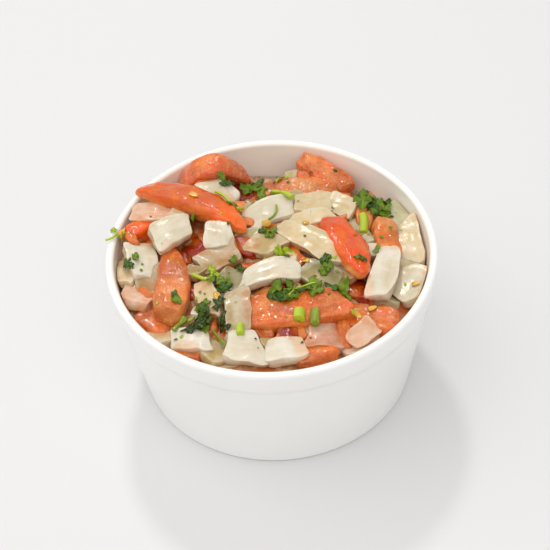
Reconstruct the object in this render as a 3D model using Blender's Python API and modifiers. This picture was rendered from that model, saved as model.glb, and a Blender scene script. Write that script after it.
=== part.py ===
"""Pico de gallo heaped in a small white side bowl.

The frame is metres with +Z up. The origin is the middle of the bowl's foot, on the table.
There are two solids: the bowl, and the heap of chopped tomato, onion and cilantro in it.
The heap is a core that fits the bowl, with the pieces that show fused onto it.
"""

import math
import random
from collections import namedtuple

import bmesh
import bpy
from mathutils import Euler, Matrix, Vector
from mathutils.bvhtree import BVHTree

MM = 0.001
WELD = 1e-5

# The bowl: outside sizes, wall and lip, in metres.
BOWL_RADIUS = 50.0 * MM
BOWL_HEIGHT = 48.5 * MM
BASE_RADIUS = 42.2 * MM
RIM_WALL = 2.6 * MM
LIP_HEIGHT = 8.5 * MM
LIP_STEP = 0.7 * MM
FLOOR_TOP = 4.5 * MM
FOOT_WIDTH = 4.0 * MM
FOOT_RECESS = 1.0 * MM
BOWL_SIDES = 64

# The heap: how high it stands at the wall and in the middle.
HEAP_MIDDLE = 49.5 * MM
HEAP_AT_WALL = 42.5 * MM
HEAP_LEFT_RISE = 4.5 * MM
HEAP_BACK_DIP = 5.0 * MM
HEAP_LEFT_ANGLE = 155
HEAP_BACK_ANGLE = 75
HEAP_SWELL_ANGLE = 45
HEAP_ROUNDNESS = 2.2
CORE_DROP = 5.0 * MM
CORE_SIDES = 40
CORE_RINGS = 7

# The clear gap between the food and the bowl.
CLEARANCE = 0.4 * MM

# A tomato strip longer than this, in millimetres, is made as a soft form.
LONG_TOMATO = 17

# Chopped pieces that lie deeper and show between the named ones.
FILL_COUNT = 34
FILL_SEED = 7
FILL_SIZE = (8.0, 11.0)
FILL_DEPTH = (0.5, 3.5)
GOLDEN_ANGLE = math.pi * (3 - math.sqrt(5))

# No piece lies quite level: each leans this many degrees, in a direction of its own.
LEAN = 9

# A chopped piece in millimetres and degrees. (x, y, z) is the middle of its top face.
# bow curves it sideways and arch lifts its middle; taper is the width left at its ends,
# and wedge narrows it along its length.
Piece = namedtuple(
    "Piece",
    "x y z long wide deep turn pitch roll bow arch taper wedge",
    defaults=(0, 0, 0, 0, 0, 0.85, 0),
)

TOMATOES = (
    Piece(-23.2, 19.4, 54.0, 39, 10, 7, -32, -3, -15, bow=2, arch=1.5, taper=0.65, wedge=0.2),
    Piece(-17.0, 34.5, 49.8, 23, 8, 5.5, 2, 3, 20, bow=2, arch=9, taper=0.9, wedge=0.1),
    Piece(-38.5, 13.0, 49.8, 11, 6, 6, turn=25, pitch=5),
    Piece(-23.5, 5.0, 47.5, 14, 7, 6, turn=-69),
    Piece(-30.5, -10.5, 49.5, 28, 10, 8, -91, 3, bow=1.5, taper=0.8, wedge=-0.2),
    Piece(-35.5, -21.0, 44.2, 13, 9, 7, turn=-45),
    Piece(-26.0, -34.0, 43.8, 9, 4.5, 6, turn=-27),
    Piece(7.0, -24.0, 50.0, 31, 12, 8, 4, 2, 10, arch=-1, taper=0.85, wedge=0.1),
    Piece(26.5, -26.0, 46.5, 19, 10, 7, turn=-20, pitch=4),
    Piece(10.5, -38.0, 46.0, 12, 8, 6, turn=15),
    Piece(5.5, -32.0, 44.5, 12, 6, 6, turn=-20),
    Piece(22.5, -1.0, 51.8, 29, 11.5, 7, -70, 3, -20, bow=1.5, taper=0.6, wedge=0.1),
    Piece(35.5, 4.5, 47.3, 17, 7.5, 6, turn=-88),
    Piece(17.5, 36.0, 46.8, 20, 8.5, 7, turn=-42, pitch=-9, roll=20, taper=0.7),
    Piece(11.5, 29.5, 46.0, 18, 9, 6, turn=-12, roll=5),
    Piece(29.5, 18.0, 46.0, 14, 5.5, 6, turn=-100),
    Piece(-8.0, 2.5, 48.0, 10, 7, 6, turn=-36),
    Piece(-8.5, 32.0, 45.0, 12, 8, 6, turn=-60),
    Piece(4.5, -13.0, 47.5, 12, 7, 6, turn=-16),
    Piece(24.5, -14.5, 45.5, 12, 8, 6, turn=-44),
    Piece(20.0, -32.0, 45.5, 11, 4.5, 6, turn=-87),
    Piece(-42.5, 9.0, 50.0, 8, 4, 6, turn=-68),
)

ONIONS = (
    Piece(-29.5, 8.0, 52.0, 13.5, 9, 4, turn=29, arch=1),
    Piece(-33.5, 19.0, 50.0, 15, 8, 4, turn=0, arch=1),
    Piece(-15.8, 6.4, 52.6, 10, 8.8, 4.5, turn=-89, arch=0.8),
    Piece(-15.5, -2.0, 50.0, 15.5, 9, 4, turn=20, arch=-1),
    Piece(-39.0, 0.5, 48.5, 14, 9, 4.5, turn=-79, arch=1),
    Piece(-36.5, -7.0, 47.0, 13, 9.5, 4.5, turn=-87),
    Piece(-40.0, -12.0, 46.0, 12, 8, 4, turn=-36),
    Piece(-15.0, 26.5, 50.0, 13.5, 8.5, 4, turn=-44, arch=1.5),
    Piece(0.0, 16.0, 50.0, 15, 9, 4, turn=21, arch=1.5),
    Piece(-3.0, 1.5, 50.5, 12, 10.5, 4, turn=34, arch=1),
    Piece(12.0, 1.5, 51.0, 25, 9, 4, turn=-43, arch=2, taper=0.6, wedge=0.15),
    Piece(-0.5, -11.5, 51.3, 18.5, 8.5, 4, turn=12, bow=2, arch=2, taper=0.6),
    Piece(13.5, 20.0, 48.5, 12, 10.5, 4, turn=5),
    Piece(22.5, 19.5, 47.3, 9, 8.5, 4, turn=-32),
    Piece(12.5, 12.5, 49.3, 14, 8, 4, turn=3, arch=1),
    Piece(14.0, -12.0, 49.5, 12.5, 9, 4, turn=-33, arch=1),
    Piece(33.0, -10.5, 48.8, 21, 8, 4, turn=-105, bow=1, arch=1.5, taper=0.7, wedge=-0.3),
    Piece(40.0, 17.0, 44.0, 14, 10.5, 4.5, turn=-58),
    Piece(41.5, 4.5, 45.0, 17, 9, 4.5, turn=-89),
    Piece(39.5, -13.5, 45.6, 13, 12, 5, turn=19),
    Piece(40.0, -4.5, 44.0, 11, 9, 4, turn=-33),
    Piece(-20.0, -17.5, 49.3, 14.5, 6.5, 4, turn=-79, arch=1),
    Piece(-23.5, -6.5, 49.3, 6, 5, 4, turn=-32),
    Piece(-11.0, -24.0, 49.8, 15.5, 8, 4.5, turn=-89, arch=1.5),
    Piece(-24.0, -31.0, 46.0, 13.5, 8, 4, turn=-10, arch=1),
    Piece(-18.5, -33.5, 44.4, 12, 9, 4, turn=-56),
    Piece(-9.5, -36.0, 46.5, 11.5, 10.8, 4.5, turn=-6, arch=0.8),
    Piece(2.0, -36.5, 46.5, 11.5, 10.3, 4.5, turn=-3, arch=0.8),
    Piece(14.0, -33.0, 46.0, 11, 10, 4.5, turn=8, arch=1),
    Piece(27.0, -31.0, 46.3, 10.5, 8.5, 4, turn=0),
    Piece(24.0, -35.5, 44.0, 11, 6, 4, turn=20),
    Piece(9.0, 36.0, 43.5, 7, 7, 4, turn=7),
    Piece(-44.0, -1.0, 45.5, 13, 6, 4, turn=-87),
    Piece(-12.0, -11.0, 48.8, 9, 7, 4, turn=-47),
    Piece(21.5, -9.0, 48.0, 9, 7, 4, turn=-55),
)

# A leaf or stem rests on what is under it: x, y, length, width and turn.
Sprig = namedtuple("Sprig", "x y long wide turn")

LEAVES = (
    Sprig(-4.5, 32.0, 10, 6.5, -75),
    Sprig(-1.0, 25.5, 9, 8, 45),
    Sprig(-13.0, 30.0, 10, 5.5, 0),
    Sprig(-30.0, 34.0, 8, 5, 10),
    Sprig(-9.5, 17.5, 9, 5, -45),
    Sprig(-46.0, 10.0, 8, 5, -38),
    Sprig(-41.5, -2.5, 10.5, 4.5, -86),
    Sprig(-18.0, -9.0, 9, 5, -27),
    Sprig(-15.0, -14.0, 8, 5, -45),
    Sprig(-10.0, -6.5, 7, 4, -19),
    Sprig(-0.5, 6.0, 7, 6.5, 15),
    Sprig(4.5, -3.0, 8.5, 6, 10),
    Sprig(33.0, 20.0, 12, 10, -45),
    Sprig(16.0, -9.0, 8, 5, -50),
    Sprig(31.0, -3.0, 6, 3.5, -82),
    Sprig(26.5, -9.5, 4.5, 4.5, 20),
    Sprig(2.5, -18.5, 12, 7, 3),
    Sprig(11.0, -18.0, 8, 6.5, 40),
    Sprig(19.5, -17.5, 8.5, 6.5, 22),
    Sprig(-21.0, -23.5, 12, 7, 2),
    Sprig(-29.0, -19.0, 6.5, 5.5, -10),
    Sprig(5.0, 34.0, 6, 4.5, 25),
)

STEMS = (
    Sprig(29.0, 12.0, 7, 3.0, -94),
    Sprig(7.0, -28.3, 4, 3.0, -96),
    Sprig(11.5, -28.3, 4.4, 2.5, -96),
    Sprig(-27.5, -25.0, 7, 1.8, 55),
    Sprig(4.5, 23.0, 9, 2.4, -48),
)

# How thick a leaf is, how it waves, and its lobes.
LEAF_THICK = 0.7
LEAF_WAVE = 0.5
LEAF_LOBES = 3
LEAF_LOBE_DEPTH = 0.28
LEAF_POINTS = 10
STEM_SIDES = 6

# A leaf or stem touches what is under it this share of its size out, and stands this high.
REST_REACH = 0.35
REST_LIFT = 0.3 * MM


def clear_scene():
    for old in list(bpy.data.objects):
        bpy.data.objects.remove(old)


def collection(name):
    made = bpy.data.collections.new(name)
    bpy.context.scene.collection.children.link(made)
    return made


def material(name, colour, roughness):
    made = bpy.data.materials.new(name)
    made.use_nodes = True
    shader = made.node_tree.nodes["Principled BSDF"]
    shader.inputs["Base Color"].default_value = (*colour, 1)
    shader.inputs["Roughness"].default_value = roughness
    shader.inputs["Metallic"].default_value = 0
    return made


def evaluated_mesh(obj):
    """The object's mesh with its modifiers applied; the object itself is removed."""
    graph = bpy.context.evaluated_depsgraph_get()
    mesh = bpy.data.meshes.new_from_object(obj.evaluated_get(graph))
    bpy.data.objects.remove(obj)
    return mesh


def turned(name, profile, sides, group):
    """A solid turned about Z from a closed profile of (radius, height), outer side first."""
    mesh = bpy.data.meshes.new(name)
    points = [(r, 0, z) for r, z in profile]
    edges = [(i, i + 1) for i in range(len(points) - 1)]
    mesh.from_pydata(points, edges, [])
    obj = bpy.data.objects.new(name, mesh)
    group.objects.link(obj)
    screw = obj.modifiers.new("Turn", "SCREW")
    screw.steps = sides
    screw.render_steps = sides
    screw.use_merge_vertices = True
    screw.merge_threshold = WELD
    return obj


def arc(centre_r, centre_z, radius, start, end, count):
    """Points of a profile's round corner, from one angle to another in degrees."""
    angles = [math.radians(start + (end - start) * i / count) for i in range(count + 1)]
    return [(centre_r + radius * math.cos(a), centre_z + radius * math.sin(a)) for a in angles]


# The bowl.
LIP_FOOT = BOWL_HEIGHT - LIP_HEIGHT
BODY_TOP_RADIUS = BOWL_RADIUS - 0.9 * MM - LIP_STEP
RIM_ROUND = RIM_WALL / 2
INNER_RIM_RADIUS = BOWL_RADIUS - RIM_WALL
INNER_BASE_RADIUS = BASE_RADIUS - 2.2 * MM
INNER_FILLET = 7.0 * MM
BASE_ROUND = 1.2 * MM


def inside_radius(z):
    """The radius of the bowl's inner wall at a height, above its rounded corner."""
    share = (z - FLOOR_TOP) / (BOWL_HEIGHT - RIM_ROUND - FLOOR_TOP)
    return INNER_BASE_RADIUS + (INNER_RIM_RADIUS - INNER_BASE_RADIUS) * share


def inner_corner(radius):
    """The round corner between the inner wall and the floor, wall side first."""
    centre_z = FLOOR_TOP + radius
    centre_r = inside_radius(centre_z) - radius
    return arc(centre_r, centre_z, radius, 0, -90, 3)


def bowl_profile():
    rim_middle = BOWL_RADIUS - RIM_ROUND
    recess_radius = BASE_RADIUS - FOOT_WIDTH - BASE_ROUND
    inner_top = BOWL_HEIGHT - RIM_ROUND
    rim = arc(rim_middle, inner_top, RIM_ROUND, 180, 0, 6)
    lip = [
        (BOWL_RADIUS - 0.5 * MM, LIP_FOOT + 1.8 * MM),
        (BOWL_RADIUS - 0.9 * MM, LIP_FOOT + 0.4 * MM),
        (BODY_TOP_RADIUS, LIP_FOOT - 1.2 * MM),
    ]
    base = arc(BASE_RADIUS - BASE_ROUND, BASE_ROUND, BASE_ROUND, 0, -90, 2)
    foot = [
        (recess_radius + FOOT_RECESS, 0),
        (recess_radius, FOOT_RECESS),
        (0, FOOT_RECESS),
    ]
    inner = [(0, FLOOR_TOP)] + list(reversed(inner_corner(INNER_FILLET)))
    return inner + rim + lip + base + foot


def make_bowl(parts, white):
    obj = turned("bowl", bowl_profile(), BOWL_SIDES, parts)
    mesh = evaluated_mesh(obj)
    bowl = bpy.data.objects.new("bowl", mesh)
    parts.objects.link(bowl)
    outward(mesh)
    mesh.materials.append(white)
    mesh.shade_smooth()
    mesh.set_sharp_from_angle(angle=math.radians(40))
    return bowl


def outward(mesh):
    """Welds a closed mesh and turns its faces outwards."""
    work = bmesh.new()
    work.from_mesh(mesh)
    bmesh.ops.remove_doubles(work, verts=work.verts, dist=WELD)
    bmesh.ops.recalc_face_normals(work, faces=work.faces)
    work.to_mesh(mesh)
    work.free()


# The heap's shape.
def swell(angle, middle):
    """A smooth hump round a direction in degrees: 1 there, and near 0 away from it."""
    apart = (angle - middle + 180) % 360 - 180
    return math.exp(-((apart / HEAP_SWELL_ANGLE) ** 2))


def heap_height(x, y):
    """How high the heap stands: a dome over an edge that is high at the left and low behind."""
    angle = math.degrees(math.atan2(y, x))
    edge = HEAP_AT_WALL
    edge += HEAP_LEFT_RISE * swell(angle, HEAP_LEFT_ANGLE)
    edge -= HEAP_BACK_DIP * swell(angle, HEAP_BACK_ANGLE)
    out = min(math.hypot(x, y) / inside_radius(HEAP_AT_WALL), 1)
    return edge + (HEAP_MIDDLE - edge) * (1 - out**HEAP_ROUNDNESS)


def core_mesh(group):
    """The solid under the pieces: it fills the bowl to a little below the heap's surface."""
    wall_top = HEAP_AT_WALL - CORE_DROP
    corner = [(r - CLEARANCE, z + CLEARANCE) for r, z in reversed(inner_corner(INNER_FILLET))]
    edge = inside_radius(wall_top) - CLEARANCE
    top = [(edge * (CORE_RINGS - i) / CORE_RINGS, wall_top) for i in range(CORE_RINGS + 1)]
    profile = [(0, FLOOR_TOP + CLEARANCE)] + corner + top
    mesh = evaluated_mesh(turned("core", profile, CORE_SIDES, group))
    outward(mesh)
    for vertex in mesh.vertices:
        if vertex.co.z > wall_top - WELD:
            vertex.co.z = heap_height(vertex.co.x, vertex.co.y) - CORE_DROP
            limit_to_bowl(vertex.co)
    return mesh


def limit_to_bowl(point):
    """Below the rim's top a point is kept off the bowl's wall."""
    if point.z > BOWL_HEIGHT + CLEARANCE:
        return
    most = inside_radius(min(point.z, BOWL_HEIGHT - RIM_ROUND)) - CLEARANCE
    out = math.hypot(point.x, point.y)
    if out > most:
        point.x *= most / out
        point.y *= most / out


# The pieces.
def block(piece, cuts, rounded):
    """A chopped piece in its own frame: a cube cut along its length, then curved and tapered."""
    work = bmesh.new()
    bmesh.ops.create_cube(work, size=1)
    along = [e for e in work.edges if abs(e.verts[0].co.x - e.verts[1].co.x) > 0.5]
    bmesh.ops.subdivide_edges(work, edges=along, cuts=cuts)
    for vertex in work.verts:
        t = 2 * vertex.co.x
        narrow = 1 - (1 - piece.taper) * t * t
        vertex.co.x *= piece.long
        vertex.co.y *= piece.wide * narrow * (1 - piece.wedge * t)
        vertex.co.y += piece.bow * (0.5 - t * t)
        vertex.co.z = (vertex.co.z - 0.5) * piece.deep * (0.4 + 0.6 * narrow)
        vertex.co.z += piece.arch * (0.5 - t * t)
    mesh = bpy.data.meshes.new("piece")
    work.to_mesh(mesh)
    work.free()
    if not rounded:
        return mesh
    return softened(mesh, 1)


def softened(mesh, levels):
    """The cage made a soft form by Subdivision Surface, swollen back to its own size."""
    obj = bpy.data.objects.new("cage", mesh)
    bpy.context.scene.collection.objects.link(obj)
    surface = obj.modifiers.new("Soft", "SUBSURF")
    surface.levels = levels
    surface.render_levels = levels
    cage = [max(abs(v.co[k]) for v in mesh.vertices) for k in range(3)]
    soft = evaluated_mesh(obj)
    got = [max(abs(v.co[k]) for v in soft.vertices) for k in range(3)]
    for vertex in soft.vertices:
        for k in range(3):
            vertex.co[k] *= cage[k] / got[k]
    return soft


def roughen(mesh, amount, rng):
    """Chopped food is uneven, so each corner is moved a little."""
    for vertex in mesh.vertices:
        vertex.co += Vector([rng.uniform(-amount, amount) for _ in range(3)])


def placed(mesh, place):
    """Moves a mesh in millimetres to its place in the heap, clear of the bowl."""
    mesh.transform(place)
    for vertex in mesh.vertices:
        limit_to_bowl(vertex.co)
    return mesh


def place_of(piece, number):
    """Where a piece stands. Its lean goes round by the golden angle from piece to piece."""
    pitch = piece.pitch + LEAN * math.sin(number * GOLDEN_ANGLE)
    roll = piece.roll + LEAN * math.cos(number * GOLDEN_ANGLE)
    if piece.long > LONG_TOMATO:
        pitch, roll = piece.pitch, piece.roll
    turn = Euler([math.radians(a) for a in (roll, -pitch, piece.turn)], "XYZ")
    spot = Vector((piece.x, piece.y, piece.z)) * MM
    return Matrix.Translation(spot) @ turn.to_matrix().to_4x4() @ Matrix.Scale(MM, 4)


def leaf_mesh(sprig, rng):
    """A lobed leaf: a filled circle drawn out into lobes, waved, then given its thickness."""
    work = bmesh.new()
    bmesh.ops.create_circle(work, cap_ends=True, cap_tris=True, segments=LEAF_POINTS, radius=1)
    phase = rng.uniform(0, 360)
    for vertex in work.verts:
        angle = math.atan2(vertex.co.y, vertex.co.x)
        lobe = 1 - LEAF_LOBE_DEPTH * (0.5 - 0.5 * math.cos(LEAF_LOBES * angle))
        wave = math.sin(2 * angle + math.radians(phase)) * vertex.co.length
        vertex.co.x *= lobe * sprig.long / 2
        vertex.co.y *= lobe * sprig.wide / 2
        vertex.co.z = LEAF_WAVE * wave
    mesh = bpy.data.meshes.new("leaf")
    work.to_mesh(mesh)
    work.free()
    obj = bpy.data.objects.new("leaf", mesh)
    bpy.context.scene.collection.objects.link(obj)
    shell = obj.modifiers.new("Thickness", "SOLIDIFY")
    shell.thickness = LEAF_THICK
    shell.offset = 0
    leaf = evaluated_mesh(obj)
    outward(leaf)
    return leaf


def stem_mesh(sprig):
    """A cut length of stem, lying along its own X."""
    work = bmesh.new()
    lay = Matrix.Rotation(math.radians(90), 4, "Y")
    radius = sprig.wide / 2
    bmesh.ops.create_cone(
        work,
        cap_ends=True,
        segments=STEM_SIDES,
        radius1=radius,
        radius2=radius,
        depth=sprig.long,
        matrix=lay,
    )
    mesh = bpy.data.meshes.new("stem")
    work.to_mesh(mesh)
    work.free()
    return mesh


def surface_of(meshes):
    """A search tree of these meshes' faces, to rest things on."""
    points, faces = [], []
    for mesh in meshes:
        first = len(points)
        points += [v.co.copy() for v in mesh.vertices]
        faces += [[first + i for i in p.vertices] for p in mesh.polygons]
    return BVHTree.FromPolygons(points, faces)


def height_at(tree, x, y):
    """The height of the surface at a point; beyond the food it is just over the rim."""
    spot = tree.ray_cast(Vector((x, y, 2 * BOWL_HEIGHT)), Vector((0, 0, -1)))[0]
    if spot is None:
        return BOWL_HEIGHT + 2 * CLEARANCE
    return spot.z


def resting_place(tree, sprig):
    """A leaf or stem lies level with the surface under its two ends and its two sides."""
    turn = Matrix.Rotation(math.radians(sprig.turn), 3, "Z")
    middle = Vector((sprig.x, sprig.y, 0)) * MM
    heights = []
    tangents = []
    for reach in (Vector((sprig.long, 0, 0)), Vector((0, sprig.wide, 0))):
        step = turn @ reach * (REST_REACH * MM)
        high = height_at(tree, *(middle + step).xy)
        low = height_at(tree, *(middle - step).xy)
        heights += [high, low]
        tangents.append((2 * step + Vector((0, 0, high - low))).normalized())
    middle.z = sum(heights) / len(heights) + REST_LIFT
    up = tangents[0].cross(tangents[1]).normalized()
    across = up.cross(tangents[0])
    frame = Matrix((tangents[0], across, up)).transposed().to_4x4()
    return Matrix.Translation(middle) @ frame @ Matrix.Scale(MM, 4)


def fill_pieces(rng):
    """Pieces under the named ones, spread evenly on a golden-angle spiral."""
    made = []
    for i in range(FILL_COUNT):
        out = math.sqrt((i + 0.5) / FILL_COUNT) * (inside_radius(HEAP_AT_WALL) - 5 * MM)
        x = out * math.cos(i * GOLDEN_ANGLE)
        y = out * math.sin(i * GOLDEN_ANGLE)
        size = rng.uniform(*FILL_SIZE)
        made.append(
            Piece(
                x / MM,
                y / MM,
                heap_height(x, y) / MM - rng.uniform(*FILL_DEPTH),
                size,
                size * rng.uniform(0.6, 0.9),
                rng.uniform(4, 6),
                turn=rng.uniform(0, 180),
                pitch=rng.uniform(-20, 20),
                roll=rng.uniform(-20, 20),
                taper=0.85,
            )
        )
    return made


def piece_meshes(core):
    """Every chopped piece, leaf and stem of the heap, in its place over the core."""
    rng = random.Random(FILL_SEED)
    made = []
    for i, piece in enumerate(fill_pieces(rng)):
        made.append(placed(block(piece, 1, False), place_of(piece, i)))
    for i, piece in enumerate(TOMATOES):
        mesh = block(piece, 2, piece.long > LONG_TOMATO)
        roughen(mesh, 0.3, rng)
        made.append(placed(mesh, place_of(piece, i)))
    for i, piece in enumerate(ONIONS):
        mesh = block(piece, 2, False)
        roughen(mesh, 0.3, rng)
        made.append(placed(mesh, place_of(piece, i)))
    tree = surface_of([core] + made)
    for sprig in LEAVES:
        made.append(placed(leaf_mesh(sprig, rng), resting_place(tree, sprig)))
    for sprig in STEMS:
        made.append(placed(stem_mesh(sprig), resting_place(tree, sprig)))
    return made


def rim_guard(group):
    """The bowl's rim and wall grown by the clear gap, to trim what would touch it."""
    grown = RIM_ROUND + 0.9 * CLEARANCE
    low = FLOOR_TOP + INNER_FILLET
    inner = (inside_radius(low) - 0.9 * CLEARANCE, low)
    rim = arc(BOWL_RADIUS - RIM_ROUND, BOWL_HEIGHT - RIM_ROUND, grown, 180, 0, 8)
    outer = (BOWL_RADIUS + 3 * MM, low)
    profile = [inner] + rim + [outer, inner]
    mesh = evaluated_mesh(turned("rim_guard", profile, BOWL_SIDES, group))
    outward(mesh)
    guard = bpy.data.objects.new("rim_guard", mesh)
    group.objects.link(guard)
    guard.hide_render = True
    guard.display_type = "WIRE"
    return guard


def largest_body(mesh):
    """Keeps the outer body: a loose scrap goes, and so does the skin of a sealed hollow."""
    work = bmesh.new()
    work.from_mesh(mesh)
    left = set(work.verts)
    bodies = []
    while left:
        found = {left.pop()}
        edge = set(found)
        while edge:
            edge = {e.other_vert(v) for v in edge for e in v.link_edges} - found
            found |= edge
        left -= found
        bodies.append(found)
    keep = max(bodies, key=len)
    bmesh.ops.delete(work, geom=[v for v in work.verts if v not in keep], context="VERTS")
    bmesh.ops.triangulate(work, faces=work.faces)
    work.to_mesh(mesh)
    work.free()


def make_heap(parts, cutters, food):
    under = core_mesh(parts)
    core = bpy.data.objects.new("pico_de_gallo", under)
    parts.objects.link(core)
    loose = collection("chopped pieces")
    for mesh in piece_meshes(under):
        outward(mesh)
        loose.objects.link(bpy.data.objects.new("chopped", mesh))
    fuse = core.modifiers.new("Fuse", "BOOLEAN")
    fuse.operation = "UNION"
    fuse.operand_type = "COLLECTION"
    fuse.collection = loose
    fuse.solver = "MANIFOLD"
    trim = core.modifiers.new("Trim", "BOOLEAN")
    trim.operation = "DIFFERENCE"
    trim.object = rim_guard(cutters)
    trim.solver = "MANIFOLD"
    bpy.context.view_layer.update()
    mesh = evaluated_mesh(core)
    for obj in list(loose.objects):
        bpy.data.objects.remove(obj)
    bpy.data.collections.remove(loose)
    largest_body(mesh)
    heap = bpy.data.objects.new("pico_de_gallo", mesh)
    parts.objects.link(heap)
    mesh.materials.clear()
    mesh.materials.append(food)
    return heap


def main():
    clear_scene()
    parts = collection("pico de gallo bowl")
    cutters = collection("cutters")
    white = material("white glaze", (0.86, 0.85, 0.82), 0.25)
    food = material("chopped salsa", (0.75, 0.36, 0.22), 0.3)
    make_bowl(parts, white)
    make_heap(parts, cutters, food)


main()
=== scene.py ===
"""Pico de gallo in its white bowl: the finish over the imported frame.

The bowl and the heap of chopped tomato, onion and cilantro are surfaces worked out with numpy,
in the same frame as the solids: metres, +Z up, the origin in the middle of the bowl's foot.
"""

import math
import random
from collections import namedtuple

import bpy
import numpy as np
from bpy.props import FloatProperty, FloatVectorProperty, IntProperty, PointerProperty
from mathutils import Matrix, Vector


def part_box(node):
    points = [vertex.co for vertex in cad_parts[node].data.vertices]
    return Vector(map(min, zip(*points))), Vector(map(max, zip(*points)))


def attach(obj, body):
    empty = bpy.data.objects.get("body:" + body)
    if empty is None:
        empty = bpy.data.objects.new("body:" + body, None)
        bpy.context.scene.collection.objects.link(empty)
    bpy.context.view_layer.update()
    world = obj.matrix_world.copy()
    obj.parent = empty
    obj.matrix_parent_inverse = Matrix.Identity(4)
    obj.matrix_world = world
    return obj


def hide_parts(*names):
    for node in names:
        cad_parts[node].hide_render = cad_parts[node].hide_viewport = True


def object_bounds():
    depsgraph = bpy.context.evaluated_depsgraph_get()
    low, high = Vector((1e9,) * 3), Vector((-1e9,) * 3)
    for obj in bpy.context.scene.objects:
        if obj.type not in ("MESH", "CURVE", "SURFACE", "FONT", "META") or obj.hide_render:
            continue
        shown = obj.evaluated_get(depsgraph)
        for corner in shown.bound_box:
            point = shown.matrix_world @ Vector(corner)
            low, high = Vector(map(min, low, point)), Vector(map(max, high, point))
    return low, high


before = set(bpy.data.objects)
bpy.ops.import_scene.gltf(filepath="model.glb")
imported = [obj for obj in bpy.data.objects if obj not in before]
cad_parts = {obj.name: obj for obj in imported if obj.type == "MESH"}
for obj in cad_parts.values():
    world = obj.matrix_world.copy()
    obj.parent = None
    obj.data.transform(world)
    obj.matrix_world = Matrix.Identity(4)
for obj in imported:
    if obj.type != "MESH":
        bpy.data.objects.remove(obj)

bl_info = {
    "name": "Pico de gallo bowl",
    "version": (1, 0, 0),
    "blender": (4, 5, 0),
    "location": "3D View > Sidebar > Pico",
    "description": "A white side bowl heaped with chopped tomato, onion and cilantro",
    "category": "Object",
}

MM = 0.001
CAD_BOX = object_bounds()
BOWL_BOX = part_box("bowl")
BOWL_RADIUS = BOWL_BOX[1].x
BOWL_HEIGHT = BOWL_BOX[1].z
GOLDEN_ANGLE = math.pi * (3 - math.sqrt(5))

# The bowl: how far its inside is drawn in at the floor, its round corners, the flat of its
# floor, and the radius and height where the outer wall ends and where the lip begins.
BASE_WALL = 2.2 * MM
INNER_FILLET = 7.0 * MM
FOOT_EDGE = 1.2 * MM
FLOOR_REACH = 29 * MM
WALL_END = (48.4 * MM, 38.8 * MM)
LIP_START = (49.35 * MM, 40 * MM)
BOWL_COLUMNS = 256

# The heap: where its edge swells or sinks, by how much and at which angle, over what spread of
# degrees, and the power by which it falls away from its middle.
EDGE_SWELLS = ((4.5 * MM, 155), (-5.0 * MM, 75))
SWELL_SPREAD = 45
HEAP_ROUNDNESS = 2.2
CORE_COLUMNS = 160
CORE_RELIEF = 0.9 * MM

# A chopped piece up to this many millimetres long leans by this many degrees; a longer one
# lies as it is placed. The lower pieces have sizes and depths in millimetres between these.
LONG_PIECE = 17
LEAN = 11
FILL_SEED = 7
FILL_SIZE = (8.0, 11.0)
FILL_DEPTH = (0.5, 3.5)
FILL_LEAN = (-20, 20)

# A point this far under the rim's top, and past the wall by the second, is lifted over the rim.
LIFT_REACH = 4 * MM
LIFT_PAST = 1.2 * MM
# How far the finish may stand over the solids, and how far small things may sink in the heap.
OVER_SOLIDS = 1.2 * MM
SINK = 0.4 * MM
# Small things rest on the heap at this share of their length and width each way, no steeper
# than this rise to a millimetre.
REST_REACH = 0.35
STEEPEST = 0.6 * MM
# A leaf breaks into one leaflet to this many square millimetres.
LEAFLET_AREA = 17
FLECK_COUNT = 70
FLECK_REACH = 43
FLECK_SIZE = (0.5, 1.9)
# Small bits lie in the hollows: how many at most, how long in millimetres and how far apart,
# how deep a hollow is at least and how far out at most, and how far it is from an open gap.
MOST_BITS = 70
BIT_SIZE = (3.2, 7.5)
BIT_SPACING = 3.7 * MM
HOLLOW_DEPTH = 0.55 * MM
HOLLOW_REACH = 38 * MM
GAP_REACH = 7 * MM

# What a tint is multiplied by far down in the heap, a painted shade of the gaps that is partly
# juice soaked in, how far down that is, and the painted red of tomato showing through an onion over
# it.
DEEP_SHADE = np.array([0.6, 0.43, 0.28])
DEEP_AT = 5.5 * MM
RED_SHADE = np.array([1.0, 0.74, 0.6])

# The stage: a lamp's watts, where the lamps aim, the camera's sensor in millimetres, and its
# focal length as a share of the picture's width.
LAMP_WATTS = 10
LAMP_AIM = Vector((0, 0, 0.03))
SENSOR = 36
FOCAL_SHARE = 1900 / 550

# The tones of the food in sRGB, for each kind of piece.
TONES = {
    "skin": (228, 98, 12),
    "bright": (228, 82, 0),
    "flesh": (210, 100, 32),
    "salmon": (214, 110, 42),
    "rose": (220, 96, 52),
    "pale": (228, 148, 78),
    # A dark red, partly the tomato's own and partly painted shade for pieces that lie low in the
    # open gaps.
    "deep": (150, 40, 8),
    "gel": (226, 106, 22),
    "cut": (202, 72, 34),
    "white": (226, 216, 196),
    "cream": (218, 196, 154),
    "grey": (192, 186, 148),
    "tan": (190, 164, 112),
    "clear": (176, 144, 98),
    "moss": (142, 134, 84),
    "blush": (206, 148, 118),
    "pink": (226, 182, 154),
    "seed": (240, 180, 36),
    "leaf": (108, 132, 16),
    "dark": (50, 80, 8),
    "lime": (178, 200, 30),
    "olive": (122, 142, 16),
    # A leaf painted near black: painted shade for leaves that lie in shadow.
    "night": (30, 34, 8),
    "juice": (196, 128, 62),
}

RED_TONES = ("skin", "bright", "flesh", "salmon", "rose", "pale", "deep", "gel")

# A chopped piece in millimetres and degrees. (x, y, z) is the middle of its top face.
# bow curves it sideways and arch lifts its middle; taper is the width left at its ends,
# and wedge narrows it along its length.
Piece = namedtuple(
    "Piece",
    "tone x y z long wide deep turn pitch roll bow arch taper wedge",
    defaults=(0, 0, 0, 0, 0, 0.85, 0),
)


def rows(kind, *table):
    """A table's rows as things of one kind."""
    return [kind(*row) for row in table]


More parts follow.
